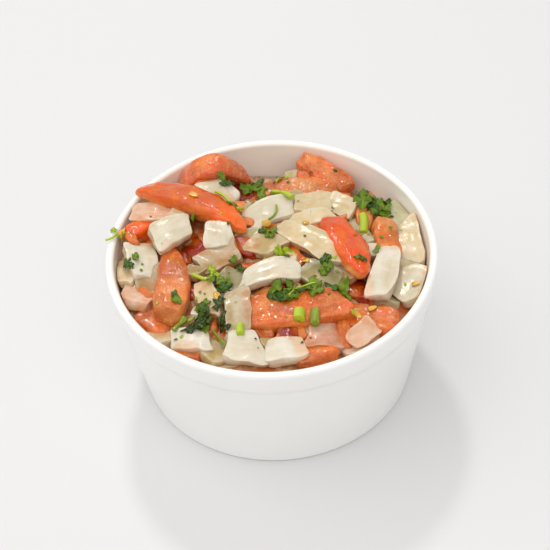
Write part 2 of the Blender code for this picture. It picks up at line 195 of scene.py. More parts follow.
TOMATOES = rows(
    Piece,
    ("skin", -21.4, 18.8, 54, 37, 10, 7, -32, -3, -15, 2, 1.5, 0.65, 0.2),
    ("rose", -17, 34.5, 49.8, 23, 8, 5.5, 2, 3, 20, 2, 9, 0.9, 0.1),
    ("bright", -38.5, 13, 50.2, 13, 6.5, 6, 28, 5),
    ("deep", -23.5, 5, 47.5, 14, 7, 6, -69),
    ("salmon", -30.5, -9.3, 49.5, 25.5, 10, 8, -91, 3, 0, 1.5, 0, 0.8, -0.2),
    ("salmon", -35.5, -21, 44.2, 13, 9, 7, -45),
    ("salmon", -26, -34, 43.8, 9, 4.5, 6, -27),
    ("flesh", 7, -24, 50, 31, 12, 8, 4, 2, 10, 0, -1, 0.92, 0.04),
    ("gel", 26.5, -26, 46.5, 19, 10, 7, -20, 4),
    ("salmon", 10.5, -38, 46, 12, 8, 6, 15),
    ("deep", 5.5, -32, 45.6, 12, 6, 6, -20),
    ("bright", 23.6, -0.4, 51.8, 29, 11.5, 7, -70, 3, -20, 1.5, 0, 0.6, 0.1),
    ("pale", 35.5, 4.5, 47.3, 17, 7.5, 6, -88),
    ("rose", 17.5, 36, 46.8, 20, 8.5, 7, -42, -9, 20, 0, 0, 0.7),
    ("pale", 11.5, 29.5, 46, 18, 9, 6, -12, 0, 5),
    ("pale", 29.5, 18, 46, 14, 5.5, 6, -100),
    ("deep", -8, 2.5, 49.2, 10, 7, 6, -36),
    ("deep", -8.5, 32, 45, 12, 8, 6, -60),
    ("flesh", 4.5, -13, 47.5, 12, 7, 6, -16),
    ("deep", 24.5, -14.5, 45.5, 12, 8, 6, -44),
    ("gel", 20, -32, 45.5, 11, 4.5, 6, -87),
    ("flesh", -42.5, 9, 50, 8, 4, 6, -68),
)

ONIONS = rows(
    Piece,
    ("white", -29.5, 8, 52, 13.5, 9, 3, 29, 0, 0, 0, 1),
    ("pink", -33, 18.5, 50.6, 18, 9.5, 3, 3, 0, 0, 0, 1),
    ("white", -15.6, 5.4, 52, 10, 8.8, 3.4, -89, 0, 0, 0, 0.8),
    ("clear", -16.2, -2, 50, 13.5, 9, 3, 20, 0, 0, 0, -1),
    ("white", -39, 0.5, 48.5, 14, 9, 3.4, -79, 0, 0, 0, 1),
    ("clear", -36.5, -7, 47, 13, 9.5, 3.4, -87),
    ("pink", -40, -12, 46, 12, 8, 3, -36),
    ("white", -15, 26.5, 50, 13.5, 8.5, 3, -44, 0, 0, 0, 1.5),
    ("white", 0, 16, 50, 15, 9, 3, 21, 0, 0, 0, 1.5),
    ("tan", -1.6, 1.7, 50.5, 10.2, 10.5, 3, 36, 0, 0, 0, 1),
    ("cream", 12.4, 1, 51, 26, 9, 3, -43, 0, 0, 0, 2, 0.6, 0.15),
    ("white", -0.5, -11.5, 51.3, 18.5, 8.5, 3, 12, 0, 0, 2, 2, 0.6),
    ("cream", 13.5, 20, 48.5, 12, 10.5, 3, 5),
    ("cream", 22.5, 19.5, 47.3, 9, 8.5, 3, -32),
    ("cream", 12.5, 12.5, 49.3, 14, 8, 3, 3, 0, 0, 0, 1),
    ("moss", 14, -12, 49.5, 12.5, 9, 3, -33, 0, 0, 0, 1),
    ("white", 33, -10.5, 48.8, 21, 8, 3, -105, 0, 0, 1, 1.5, 0.7, -0.3),
    ("grey", 40, 17, 44, 14, 10.5, 3.4, -58),
    ("cream", 41.5, 4.5, 45, 17, 9, 3.4, -89),
    ("white", 39.5, -13.5, 45.6, 13, 12, 3.8, 19),
    ("tan", 40, -4.5, 44, 11, 9, 3, -33),
    ("cream", -20, -17.5, 49.3, 14.5, 6.5, 3, -79, 0, 0, 0, 1),
    ("clear", -23.5, -6.5, 49.3, 6, 5, 3, -32),
    ("clear", -11, -24, 49.8, 15.5, 8, 3.4, -89, 0, 0, 0, 1.5),
    ("white", -24.9, -31, 46, 12, 8, 3, -10, 0, 0, 0, 1),
    ("tan", -18.5, -33.5, 44.4, 12, 9, 3, -56),
    ("white", -9.5, -36, 46.5, 11.5, 10.8, 3.4, -6, 0, 0, 0, 0.8),
    ("white", 2, -37.3, 46.2, 11.5, 9, 3.4, -3, 0, 0, 0, 0.8),
    ("blush", 14, -33, 46, 11, 10, 3.4, 8, 0, 0, 0, 1),
    ("pink", 25.2, -33.2, 46.3, 10, 6.5, 3, 38),
    ("blush", 24, -35.5, 44, 11, 6, 3, 20),
    ("grey", 9, 36, 43.5, 7, 7, 3, 7),
    ("cream", -44, -1, 45.5, 13, 6, 3, -87),
    ("moss", -12, -11, 48.8, 9, 7, 3, -47),
    ("clear", 21.5, -9, 48, 9, 7, 3, -55),
)

# A leaf, stem or seed rests on what is under it: tone, x, y, length, width and turn.
Sprig = namedtuple("Sprig", "tone x y long wide turn")

LEAVES = rows(
    Sprig,
    ("leaf", -4.5, 32, 10, 7.5, -75),
    ("leaf", -1, 25.5, 9, 8, 45),
    ("dark", -12.5, 29, 9, 5.5, -10),
    ("dark", -27.6, 31.4, 7.5, 5, 130),
    ("lime", -9.5, 17.5, 9, 5.5, -45),
    ("lime", -46, 10, 8, 5, -38),
    ("dark", -41.5, -2.5, 10.5, 5, -86),
    ("lime", -18, -9, 9, 6, -27),
    ("dark", -15, -14, 9, 7, -45),
    ("dark", -10, -6.5, 7, 5, -19),
    ("leaf", -0.5, 6, 7.5, 6.5, 15),
    ("lime", 4.5, -3, 9, 6, 10),
    ("dark", 33, 20, 13, 11, -45),
    ("leaf", 16, -9, 8, 6, -50),
    ("olive", 31, -3, 6, 4, -82),
    ("dark", 26.5, -9.5, 4.5, 4.5, 20),
    ("dark", 2.5, -18.5, 13, 8.5, 3),
    ("leaf", 11, -18, 9, 8, 40),
    ("leaf", 19.5, -17.5, 9, 7.5, 22),
    # Painted shade: these leaflets by the open gap are painted near black for the shadow they lie
    # in.
    ("night", -21.5, -27, 10, 8, 15),
    ("night", -15.5, -28.5, 7, 6, -30),
    ("night", -16.5, -23, 6, 5, -80),
    ("dark", -22, -23, 11, 6.5, -4),
    ("leaf", -29, -19, 6.5, 5.5, -10),
    ("lime", 5, 34, 6.5, 5, 25),
)

STEMS = rows(
    Sprig,
    ("lime", 28.6, 12, 6, 2.7, -94),
    ("lime", 7, -27.8, 2.8, 3.4, -96),
    ("olive", 11.5, -28.3, 3.7, 2.7, -96),
    ("olive", -28, -25.5, 6, 1.5, 52),
    ("lime", -10.3, -31.6, 2.6, 2.4, -90),
    ("lime", 4.5, 23, 9, 2.2, -48),
)

STRANDS = rows(
    Sprig,
    ("lime", 8, -18, 9, 0.9, 28),
    ("lime", -48, 9, 4.5, 0.7, 40),
    ("leaf", -16.5, -31.5, 7, 0.8, -60),
    ("lime", -22.5, -23.6, 6.5, 0.8, -8),
    ("olive", 1.5, 14, 6, 0.7, 65),
    ("lime", -13.5, 19.5, 6.5, 1.2, -50),
    ("lime", -21, -10.5, 6, 1, -20),
)

SEEDS = rows(
    Sprig,
    ("seed", -22.5, 19, 3.4, 2.6, -33),
    ("seed", -1, 10.5, 3.2, 2.4, 10),
    ("seed", -16.5, -19.5, 3.6, 2.6, -70),
    ("seed", 10, -6.5, 3.4, 2.2, -50),
    ("seed", 11, 7.5, 2.6, 2, 30),
    ("seed", 42, -15, 2.6, 2, 0),
    ("seed", -45, 10.5, 3.2, 2.6, 60),
    ("seed", -4.5, 20.5, 3, 2.2, 80),
    ("seed", 28.5, -24, 3.2, 2.2, 20),
    ("seed", 24, -27.5, 3, 2.2, -40),
)


def linear(tone):
    """The linear colour of a named tone."""
    srgb = np.array(TONES[tone]) / 255
    return np.where(srgb < 0.04045, srgb / 12.92, ((srgb + 0.055) / 1.055) ** 2.4)


def length(name, description, default, least=0):
    """A setting in metres."""
    return FloatProperty(
        name=name,
        description=description,
        default=default,
        min=least,
        subtype="DISTANCE",
        unit="LENGTH",
    )


def colour(name, description, default):
    """A setting in linear red, green and blue."""
    return FloatVectorProperty(
        name=name, description=description, default=default, min=0, max=1, subtype="COLOR"
    )


def tilt(name, description, degrees):
    """A setting that is given in degrees and kept in radians."""
    radians = math.radians(degrees)
    return FloatProperty(
        name=name, description=description, default=radians, subtype="ANGLE", unit="ROTATION"
    )


def strength(name, description, default):
    """A setting of light, never below nothing."""
    return FloatProperty(name=name, description=description, default=default, min=0)


class BowlSettings(bpy.types.PropertyGroup):
    """The bowl's shape and glaze."""

    base_radius: length("Base radius", "Outside radius just over the foot", 42.2 * MM, MM)
    rim_wall: length("Rim thickness", "Thickness of the rounded rim", 2.6 * MM, MM)
    lip_height: length("Lip height", "How far the lip reaches down", 8.5 * MM, MM)
    floor_top: length("Floor", "Height of the inside floor over the table", 4.5 * MM, MM)
    foot_width: length("Foot width", "Width of the foot ring with its edges", 4.0 * MM, MM)
    glaze: colour("Glaze", "Colour of the white glaze", (0.965, 0.957, 0.945))


class HeapSettings(bpy.types.PropertyGroup):
    """The heap's shape and how finely its pieces are made."""

    middle: length("Middle height", "Height of the heap in the middle", 49.5 * MM)
    at_wall: length("Height at the wall", "Height where the heap meets the bowl", 42.5 * MM)
    core_drop: length("Core drop", "How far the wet core lies under the heap", 2.5 * MM)
    clearance: length("Clearance", "Gap between the food and the bowl", 0.4 * MM)
    fill_count: IntProperty(
        name="Lower pieces",
        description="Chopped pieces that lie under the ones placed by hand",
        default=34,
        min=0,
    )
    fineness: IntProperty(
        name="Fineness",
        description="Faces along each side of a chopped piece",
        default=18,
        min=4,
    )
    juice: colour("Juice", "Colour of the wet core in the gaps", (0.46, 0.22, 0.09))


class StageSettings(bpy.types.PropertyGroup):
    """The floor, the light and the camera."""

    floor: colour("Floor", "Colour of the pale floor", (0.757, 0.757, 0.76))
    sky: strength("Sky light", "Strength of the even light from all round", 0.66)
    key: strength("Lamps", "Strength of the three lamps together", 1.0)
    camera_place: FloatVectorProperty(
        name="Camera place",
        description="Where the camera stands",
        default=(0.69 * MM, -400.33 * MM, 454.6 * MM),
        subtype="TRANSLATION",
        unit="LENGTH",
    )
    camera_down: tilt("Camera down", "How far down the camera looks", 46.153)
    camera_roll: tilt("Camera roll", "How far the camera leans to one side", -3.391)
    lens: FloatProperty(
        name="Lens",
        description="Focal length in millimetres on a 36 mm sensor",
        default=FOCAL_SHARE * SENSOR,
        min=10,
    )


def smoothstep(x, low, high):
    """Rises from 0 at low to 1 at high along 3t2 - 2t3."""
    t = np.clip((x - low) / (high - low), 0, 1)
    return t * t * (3 - 2 * t)


def arc(centre_r, centre_z, radius, start, end, count):
    """Points of a profile's round corner, from one angle to another in degrees."""
    angle = np.radians(np.linspace(start, end, count))
    return np.column_stack([centre_r + radius * np.cos(angle), centre_z + radius * np.sin(angle)])


def around(columns):
    """Even angles, once round."""
    return np.arange(columns) * 2 * np.pi / columns


def inside_radius(z):
    """Radius of the bowl's inner wall: a straight taper from the rim down to the floor."""
    bowl = bpy.context.scene.pico_bowl
    top = BOWL_HEIGHT - bowl.rim_wall / 2
    low = bowl.base_radius - BASE_WALL
    share = (z - bowl.floor_top) / (top - bowl.floor_top)
    return low + (BOWL_RADIUS - bowl.rim_wall - low) * share


def inner_corner(count):
    """The round corner between the bowl's inner wall and its floor."""
    z = bpy.context.scene.pico_bowl.floor_top + INNER_FILLET
    return arc(inside_radius(z) - INNER_FILLET, z, INNER_FILLET, -90, 0, count)


def heap_height(x, y):
    """edge + (middle - edge)(1 - out^2.2), its edge raised to the left and sunk at the back."""
    heap = bpy.context.scene.pico_heap
    angle = np.degrees(np.arctan2(y, x))
    edge = heap.at_wall
    for lift, middle in EDGE_SWELLS:
        apart = (angle - middle + 180) % 360 - 180
        edge = edge + lift * np.exp(-((apart / SWELL_SPREAD) ** 2))
    out = np.minimum(np.hypot(x, y) / inside_radius(heap.at_wall), 1)
    return edge + (heap.middle - edge) * (1 - out**HEAP_ROUNDNESS)


def clear_of_bowl(points, may_lift=True):
    """Below the rim a point is drawn in to the wall; close under its top it may be lifted."""
    bowl = bpy.context.scene.pico_bowl
    gap = bpy.context.scene.pico_heap.clearance
    top = BOWL_HEIGHT + gap
    z = points[..., 2]
    out = np.hypot(points[..., 0], points[..., 1])
    most = inside_radius(np.minimum(z, BOWL_HEIGHT - bowl.rim_wall / 2)) - gap
    over = (z < top) & (out > most)
    lift = over & (z > top - LIFT_REACH) & (out > most + LIFT_PAST) & may_lift
    points[..., 2] = np.where(lift, top, z)
    draw = np.where(over & ~lift, most / np.maximum(out, MM), 1)
    points[..., :2] *= draw[..., None]
    return points


def cube_grid(count):
    """A cube's six faces, each a grid whose lines crowd towards its edges, joined up."""
    line = np.linspace(-1, 1, count + 1)
    line = 0.35 * line + 0.65 * np.sin(line * np.pi / 2)
    a, b = np.meshgrid(line, line, indexing="ij")
    one = np.ones_like(a)
    sides = ((one, a, b), (-one, b, a), (b, one, a), (a, -one, b), (a, b, one), (b, a, -one))
    points = np.concatenate([np.stack(side, -1).reshape(-1, 3) for side in sides])
    corner = np.arange(count)[:, None] * (count + 1) + np.arange(count)
    quad = np.stack([corner, corner + count + 1, corner + count + 2, corner + 1], -1).reshape(-1, 4)
    quads = np.concatenate([quad + k * (count + 1) ** 2 for k in range(6)])
    keys = np.round(points * 1e6).astype(np.int64)
    _, first, same = np.unique(keys, axis=0, return_index=True, return_inverse=True)
    return points[first], same.reshape(-1)[quads]


def turned_faces(rows, columns):
    """Faces of a closed grid, with a pole before its first row and one after its last."""
    j = np.arange(columns)
    k = (j + 1) % columns
    start = 1 + np.arange(rows - 1)[:, None] * columns
    quads = np.stack([start + j, start + k, start + columns + k, start + columns + j], -1)
    last = 1 + (rows - 1) * columns
    end = np.full(columns, last + columns)
    caps = [np.stack([0 * j, 1 + k, 1 + j], -1), np.stack([end, last + j, last + k], -1)]
    return quads.reshape(-1, 4), np.concatenate(caps)


def repeated(faces, copies, step):
    """The same faces for each copy, its points numbered on from the one before."""
    return (faces[None] + np.arange(copies)[:, None, None] * step).reshape(-1, faces.shape[1])


def waves(rng, points, count, low, high, size):
    """Each axis moves by a sum of sines, sin(k . p + phase), of random directions k."""
    copies = points.shape[0]
    k = rng.normal(size=(copies, count, 3))
    k *= rng.uniform(low, high, (copies, count, 1)) / np.linalg.norm(k, axis=2, keepdims=True)
    phase = rng.uniform(0, 2 * np.pi, (copies, 1, count, 3))
    angle = np.einsum("pvi,pci->pvc", points, k)[..., None] + phase
    return size * np.sin(angle).sum(2) / math.sqrt(count)


def turns(roll, pitch, turn):
    """Matrices that roll about X, then pitch about Y, then turn about Z, all in degrees."""
    a, b, c = np.radians(roll), np.radians(-pitch), np.radians(turn)
    ca, sa, cb, sb, cc, sc = np.cos(a), np.sin(a), np.cos(b), np.sin(b), np.cos(c), np.sin(c)
    rows = (
        (cc * cb, cc * sb * sa - sc * ca, cc * sb * ca + sc * sa),
        (sc * cb, sc * sb * sa + cc * ca, sc * sb * ca - cc * sa),
        (-sb, cb * sa, cb * ca),
    )
    return np.stack([np.stack(row, -1) for row in rows], -2)


def finished(
    name, points, quads, triangles, layers, material, node="pico_de_gallo", slot="chopped_salsa"
):
    """Makes the mesh, its faces outwards, with its attributes, and lets it ride on the part."""
    ends = [quads, triangles] if triangles is not None else [quads]
    fans = np.concatenate([e[:, [0, i, i + 1]] for e in ends for i in range(1, e.shape[1] - 1)])
    a, b, c = (points[fans[:, i]] for i in range(3))
    if np.einsum("ij,ij->", a, np.cross(b, c)) < 0:
        ends = [e[:, ::-1] for e in ends]
    loops = np.concatenate([e.ravel() for e in ends]).astype(np.int32)
    sizes = np.concatenate([np.full(len(e), e.shape[1]) for e in ends])
    mesh = bpy.data.meshes.new(name)
    mesh.vertices.add(len(points))
    mesh.vertices.foreach_set("co", points.astype(np.float32).ravel())
    mesh.loops.add(len(loops))
    mesh.loops.foreach_set("vertex_index", loops)
    mesh.polygons.add(len(sizes))
    mesh.polygons.foreach_set("loop_start", (np.cumsum(sizes) - sizes).astype(np.int32))
    mesh.update(calc_edges=True)
    mesh.shade_smooth()
    for layer, values in layers.items():
        kind, field = {1: ("FLOAT", "value"), 3: ("FLOAT_VECTOR", "vector")}[values.shape[1]]
        if layer == "tint":
            values = np.column_stack([values, np.ones(len(values))])
            kind, field = "FLOAT_COLOR", "color"
        made = mesh.attributes.new(layer, kind, "POINT")
        made.data.foreach_set(field, values.astype(np.float32).ravel())
    piece = bpy.data.objects.new(name, mesh)
    bpy.context.scene.collection.objects.link(piece)
    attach(piece, "root")
    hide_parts(node)
    mesh.materials.append(material)


# The bowl.
def bowl_profile(bowl):
    """The outline of half the bowl's section, from the inside floor over the rim to the foot.

    The wall is a straight taper. The lip stands out from it by a smooth step.
    """
    rim = bowl.rim_wall / 2
    top = BOWL_HEIGHT - rim
    lip_foot = BOWL_HEIGHT - bowl.lip_height
    across = np.linspace(0, 1, 12)[1:-1] * FLOOR_REACH
    floor = np.column_stack([across, np.full(10, bowl.floor_top)])
    z = np.linspace(bowl.floor_top + INNER_FILLET, top, 30)[1:-1]
    wall = np.column_stack([inside_radius(z), z])
    rim_arc = arc(BOWL_RADIUS - rim, top, rim, 180, 0, 22)
    z = np.linspace(top, FOOT_EDGE, 90)[1:-1]
    end_r, end_z = WALL_END
    body = bowl.base_radius + (end_r - bowl.base_radius) / (end_z - FOOT_EDGE) * (z - FOOT_EDGE)
    start_r, start_z = LIP_START
    lip = start_r + (BOWL_RADIUS - start_r) * (z - start_z) / (top - start_z)
    share = smoothstep(z, lip_foot - 1.4 * MM, lip_foot + 1.6 * MM)
    outer = np.column_stack([body + (lip - body) * share, z])
    foot = arc(bowl.base_radius - FOOT_EDGE, FOOT_EDGE, FOOT_EDGE, 0, -90, 8)
    inner_foot = bowl.base_radius - bowl.foot_width - FOOT_EDGE
    under = np.array([[inner_foot + MM, 0], [inner_foot, MM], [inner_foot / 2, MM]])
    return np.concatenate([floor, inner_corner(14), wall, rim_arc, outer, foot, under])


class PICO_OT_bowl(bpy.types.Operator):
    """Turn the bowl from its profile"""

    bl_idname = "pico.bowl"
    bl_label = "Bowl"

    def execute(self, context):
        bowl = context.scene.pico_bowl
        profile = bowl_profile(bowl)
        angle = around(BOWL_COLUMNS)
        r, z = profile[:, :1], profile[:, 1:]
        ring = np.stack([r * np.cos(angle), r * np.sin(angle), z + 0 * angle], -1)
        ends = [[0, 0, bowl.floor_top]], [[0, 0, MM]]
        points = np.concatenate([ends[0], ring.reshape(-1, 3), ends[1]])
        faces = turned_faces(len(profile), BOWL_COLUMNS)
        outer = profile[:, 0] > inside_radius(profile[:, 1]) + bowl.rim_wall / 2
        past_rim = np.repeat(np.cumsum(outer) > 0, BOWL_COLUMNS)
        # The inside's share, which gets the painted warm light of the inner glaze.
        layers = {"inner": np.concatenate([[1], 1.0 - past_rim, [0]])[:, None]}
        glaze = glaze_material(bowl.glaze)
        finished("white_bowl", points, *faces, layers, glaze, "bowl", "white_glaze")
        return {"FINISHED"}


# The heap.
def column(pieces, field):
    """One field of every piece, a row each."""
    return np.array([getattr(piece, field) for piece in pieces], float)[:, None]


def lower_pieces():
    """Pieces under the listed ones, on a golden-angle spiral with seeded sizes."""
    heap = bpy.context.scene.pico_heap
    rng = random.Random(FILL_SEED)
    tones = ("salmon", "grey", "deep", "cream", "flesh")
    made = []
    for i in range(heap.fill_count):
        out = math.sqrt((i + 0.5) / heap.fill_count) * (inside_radius(heap.at_wall) - 5 * MM)
        x = out * math.cos(i * GOLDEN_ANGLE)
        y = out * math.sin(i * GOLDEN_ANGLE)
        size = rng.uniform(*FILL_SIZE)
        made.append(
            Piece(
                tones[i % 5],
                x / MM,
                y / MM,
                float(heap_height(x, y)) / MM - rng.uniform(*FILL_DEPTH),
                size,
                size * rng.uniform(0.6, 0.9),
                rng.uniform(4, 6),
                rng.uniform(0, 180),
                rng.uniform(*FILL_LEAN),
                rng.uniform(*FILL_LEAN),
            )
        )
    return made


def chopped(pieces, numbers, count, power, cut, ripple, seed):
    """Chopped pieces, all at once, in metres, with their unit places and their millimetre places.

    Each is a rounded cube: a cube's point over its own power norm. Its ends narrow by
    1 - (1 - taper)|t|^n, it bends sideways by bow(1/2 - t2) and lifts by arch(1/2 - t2),
    where t runs from -1 to 1 along it, and its sides are out of square by small products of
    its own places. Slow waves make the cuts uneven, and fast ones ripple them.
    """
    barrel = 2 if power < 6 else 5
    rng = np.random.default_rng(seed)
    base, quads = cube_grid(count)
    power = np.array([3 if piece.tone in ("skin", "bright") else power for piece in pieces])
    power = power[:, None, None]
    unit = base / (np.abs(base) ** power).sum(2, keepdims=True) ** (1 / power)
    form = unit + waves(rng, unit, 4, 0.8, 2.6, cut)
    long, wide, deep, bow, arch, taper, wedge = (
        column(pieces, name) for name in ("long", "wide", "deep", "bow", "arch", "taper", "wedge")
    )
    uneven = rng.uniform(-0.2, 0.2, (3, len(pieces), 1))
    t = form[..., 0] * (1 + uneven[0] * form[..., 1])
    skew = rng.uniform(-0.28, 0.28, (len(pieces), 1))
    narrow = np.maximum(1 - (1 - taper) * np.abs(t) ** barrel, 0.2) * (1 - wedge * t)
    y = form[..., 1] * (1 + uneven[1] * t) * wide / 2 * narrow + bow * (0.5 - t * t)
    z = (form[..., 2] - 1) / 2 * deep * (0.4 + 0.6 * narrow) + arch * (0.5 - t * t)
    local = np.stack([t * long / 2 + skew * y, y, z], -1)
    local += waves(rng, local, 6, 0.5, 1.4, ripple)
    local += waves(rng, local, 6, 2.0, 4.5, ripple * 0.22)
    number = np.array(numbers, float)
    lean = np.where(long[:, 0] > LONG_PIECE, 0, LEAN)
    pitch = column(pieces, "pitch")[:, 0] + lean * np.sin(number * GOLDEN_ANGLE)
    roll = column(pieces, "roll")[:, 0] + lean * np.cos(number * GOLDEN_ANGLE)
    turn = turns(roll, pitch, column(pieces, "turn")[:, 0])
    middle = np.stack([column(pieces, name) for name in "xyz"], -1)
    place = (np.einsum("pij,pvj->pvi", turn, local) + middle) * MM
    red = np.array([piece.tone in ("skin", "bright", "flesh", "rose") for piece in pieces])
    return clear_of_bowl(place, red[:, None]), unit, local, quads, rng


def chopped_object(
    name, pieces, numbers, power, cut, ripple, seed, colouring, material, count=None
):
    """Joins chopped pieces of one kind into one mesh, with its tint, grain and skin."""
    count = count or bpy.context.scene.pico_heap.fineness
    points, unit, local, quads, rng = chopped(pieces, numbers, count, power, cut, ripple, seed)
    tint, skin = colouring(pieces, unit, local, rng)
    # Painted shade, partly juice soaked in: the deeper a point lies under the heap's top, the
    # darker and browner its tint.
    sunk = heap_height(points[..., 0], points[..., 1]) - points[..., 2]
    tint = tint * mixed(np.ones(3), DEEP_SHADE, smoothstep(sunk, 0, DEEP_AT))
    # Painted light through the onion: where an onion lies just over tomato, its tint turns redder
    # and darker, as if the tomato showed through.
    if colouring is onion_colours:
        reds = heap_map(("tomato_pieces",), 3)
        under = height_on(reds, points[..., 0], points[..., 1])
        over_red = smoothstep(under - points[..., 2], -4.5 * MM, -1.0 * MM)
        tint = mixed(tint, tint * RED_SHADE, 0.85 * over_red)
    layers = {
        "tint": tint.reshape(-1, 3),
        "grain": (local + rng.uniform(-50, 50, (len(pieces), 1, 3))).reshape(-1, 3),
        "skin": skin.reshape(-1, 1),
    }
    faces = repeated(quads, len(pieces), points.shape[1])
    finished(name, points.reshape(-1, 3), faces, None, layers, material)


def tones_of(things):
    """Each thing's own linear colour, a row each."""
    return np.array([linear(thing.tone) for thing in things])


def mixed(first, second, share):
    """Goes from one colour to another by share, held between 0 and 1."""
    share = np.clip(share, 0, 1)[..., None]
    return first * (1 - share) + second * share


def tomato_colours(pieces, unit, local, rng):
    """Skin lies on top of the skin pieces and under the rest; the flesh clouds paler and redder."""
    tint = tones_of(pieces)[:, None] + 0 * unit
    outside = np.array([piece.tone in ("skin", "bright", "deep") for piece in pieces])[:, None]
    height = unit[..., 2]
    over, under = smoothstep(height, -0.25, 0.35), smoothstep(-height, 0.55, 0.9)
    shade = waves(rng, local, 4, 0.22, 0.7, 1.0)
    flesh = mixed(tint, linear("pale"), 0.55 * outside + 0.5 * smoothstep(shade[..., 1], 0.1, 1.2))
    flesh = mixed(flesh, linear("skin"), 0.5 * smoothstep(shade[..., 2], 0.2, 1.3))
    patch = waves(rng, local, 4, 0.3, 0.9, 1.0)
    flesh = mixed(flesh, linear("gel"), 0.7 * smoothstep(patch[..., 0], 0.1, 1.0))
    flesh = mixed(flesh, linear("deep"), 0.3 * smoothstep(patch[..., 1], 0.3, 1.3))
    flesh = mixed(flesh, linear("pale"), 0.6 * smoothstep(patch[..., 2], 0.3, 1.3))
    skin = np.where(outside, over, under)
    edge = smoothstep(np.sort(np.abs(unit), -1)[..., 1], 0.6, 0.95) * smoothstep(height, 0, 0.8)
    flesh = mixed(flesh, linear("cut"), 0.55 * edge)
    tint = mixed(flesh, np.where(outside[..., None], tint, linear("skin")), skin)
    return np.clip(tint * (1 + 0.16 * shade[..., :1]), 0, 1), skin


def onion_colours(pieces, unit, local, rng):
    """Painted highlight of white on the cut edges on top; further down a juice tint, partly a stain
    and partly painted warm shade; clouds along it.
    """
    tint = tones_of(pieces)[:, None] + 0 * unit
    light = mixed(tint, linear("white"), 0.45)
    height = unit[..., 2]
    edge = smoothstep(np.sort(np.abs(unit), -1)[..., 1], 0.7, 0.97) * smoothstep(height, -0.2, 0.9)
    shade = waves(rng, local * (0.5, 1, 1), 4, 0.3, 0.9, 1.0)
    tint = mixed(tint, linear("grey"), 0.35 * smoothstep(shade[..., 0], 0, 1.1))
    tint = mixed(tint, linear("tan"), 0.35 * smoothstep(shade[..., 1], 0, 1.1))
    tint = mixed(tint, light, 0.6 * smoothstep(shade[..., 2], 0.2, 1.1))
    # Painted highlight: the cut edges on top are mixed towards white.
    tint = mixed(tint, light, 0.6 * edge)
    # Partly a juice stain and partly painted warm shade: the lower sides turn towards the juice
    # tone.
    tint = mixed(tint, linear("juice"), 0.5 * smoothstep(-height, -0.6, 0.8))
    own = rng.uniform(-1, 0.6, (len(pieces), 1, 1)) * (0.06, 0.08, 0.14)
    # The painted highlight's mask goes back as the onion's skin layer.
    return np.clip(tint * (1 + own), 0, 1), edge


class PICO_OT_core(bpy.types.Operator):
    """Make the wet core that fills the bowl under the chopped pieces"""

    bl_idname = "pico.core"
    bl_label = "Core"

    def execute(self, context):
        heap, bowl = context.scene.pico_heap, context.scene.pico_bowl
        angle = around(CORE_COLUMNS)
        low = inner_corner(8) - np.array([heap.clearance, -heap.clearance])
        r = low[:, :1] * np.ones(CORE_COLUMNS)
        side = np.stack([r * np.cos(angle), r * np.sin(angle), low[:, 1:] + 0 * r], -1)
        share = np.linspace(1, 0, 46)[:-1, None]
        out = share * (inside_radius(heap.at_wall - heap.core_drop) - heap.clearance)
        x, y = out * np.cos(angle), out * np.sin(angle)
        lumps = np.sin(x * 900 + 2 * np.sin(y * 500)) * np.sin(y * 800 + 2 * np.sin(x * 450))
        top = heap_height(x, y) - heap.core_drop + CORE_RELIEF * lumps * (1 - share**8)
        ring = clear_of_bowl(np.concatenate([side, np.stack([x, y, top], -1)]))
        first = [[0, 0, bowl.floor_top + heap.clearance]]
        last = [[0, 0, heap.middle - heap.core_drop]]
        points = np.concatenate([first, ring.reshape(-1, 3), last])
        faces = turned_faces(len(ring), CORE_COLUMNS)
        finished("wet_core", points, *faces, {}, juice_material(heap.juice))
        return {"FINISHED"}


def chopped_kind(name, placed, red, *look):
    """Joins the listed pieces with the lower ones of the same kind, red or not."""
    lower = [(i, p) for i, p in enumerate(lower_pieces()) if (p.tone in RED_TONES) == red]
    pieces = [*placed, *(p for _, p in lower)]
    numbers = [*range(len(placed)), *(i for i, _ in lower)]
    chopped_object(name, pieces, numbers, *look)


class PICO_OT_tomatoes(bpy.types.Operator):
    """Make the chopped tomato"""

    bl_idname = "pico.tomatoes"
    bl_label = "Tomatoes"

    def execute(self, context):
        look = (5, 0.07, 0.28, 21, tomato_colours, tomato_material())
        chopped_kind("tomato_pieces", TOMATOES, True, *look)
        return {"FINISHED"}


class PICO_OT_onions(bpy.types.Operator):
    """Make the chopped onion"""

    bl_idname = "pico.onions"
    bl_label = "Onions"

    def execute(self, context):
        look = (16, 0.085, 0.22, 5, onion_colours, onion_material())
        chopped_kind("onion_pieces", ONIONS, False, *look)
        return {"FINISHED"}


# What rests on the heap.
MAP_CELL = 0.5 * MM
MAP_SIDE = 201


def heap_map(names=("wet_core", "tomato_pieces", "onion_pieces"), passes=2):
    """Height of the heap on a square grid: the highest of points spread over every face."""
    heights = np.zeros((MAP_SIDE, MAP_SIDE))
    spread = (np.arange(4) + 0.5) / 4
    s, t = (a.ravel()[:, None, None] for a in np.meshgrid(spread, spread))
    for name in names:
        mesh = bpy.data.objects[name].data
        points = np.empty(len(mesh.vertices) * 3)
        mesh.vertices.foreach_get("co", points)
        loops = np.empty(len(mesh.loops), np.int32)
        mesh.loops.foreach_get("vertex_index", loops)
        totals = np.empty(len(mesh.polygons), np.int32)
        mesh.polygons.foreach_get("loop_total", totals)
        corners = loops[: (totals == 4).sum() * 4].reshape(-1, 4)
        a, b, c, d = (points.reshape(-1, 3)[corners[:, i]] for i in range(4))
        sown = (a * (1 - s) + b * s) * (1 - t) + (d * (1 - s) + c * s) * t
        sown = sown.reshape(-1, 3)
        cell = np.round(sown[:, :2] / MAP_CELL).astype(int) + MAP_SIDE // 2
        cell = np.clip(cell, 0, MAP_SIDE - 1)
        np.maximum.at(heights, (cell[:, 0], cell[:, 1]), sown[:, 2])
    shifts = [(i, j) for i in (-1, 0, 1) for j in (-1, 0, 1)]
    heights = np.max([np.roll(heights, shift, (0, 1)) for shift in shifts], 0)
    for _ in range(passes):
        heights = np.mean([np.roll(heights, shift, (0, 1)) for shift in shifts], 0)
    return heights


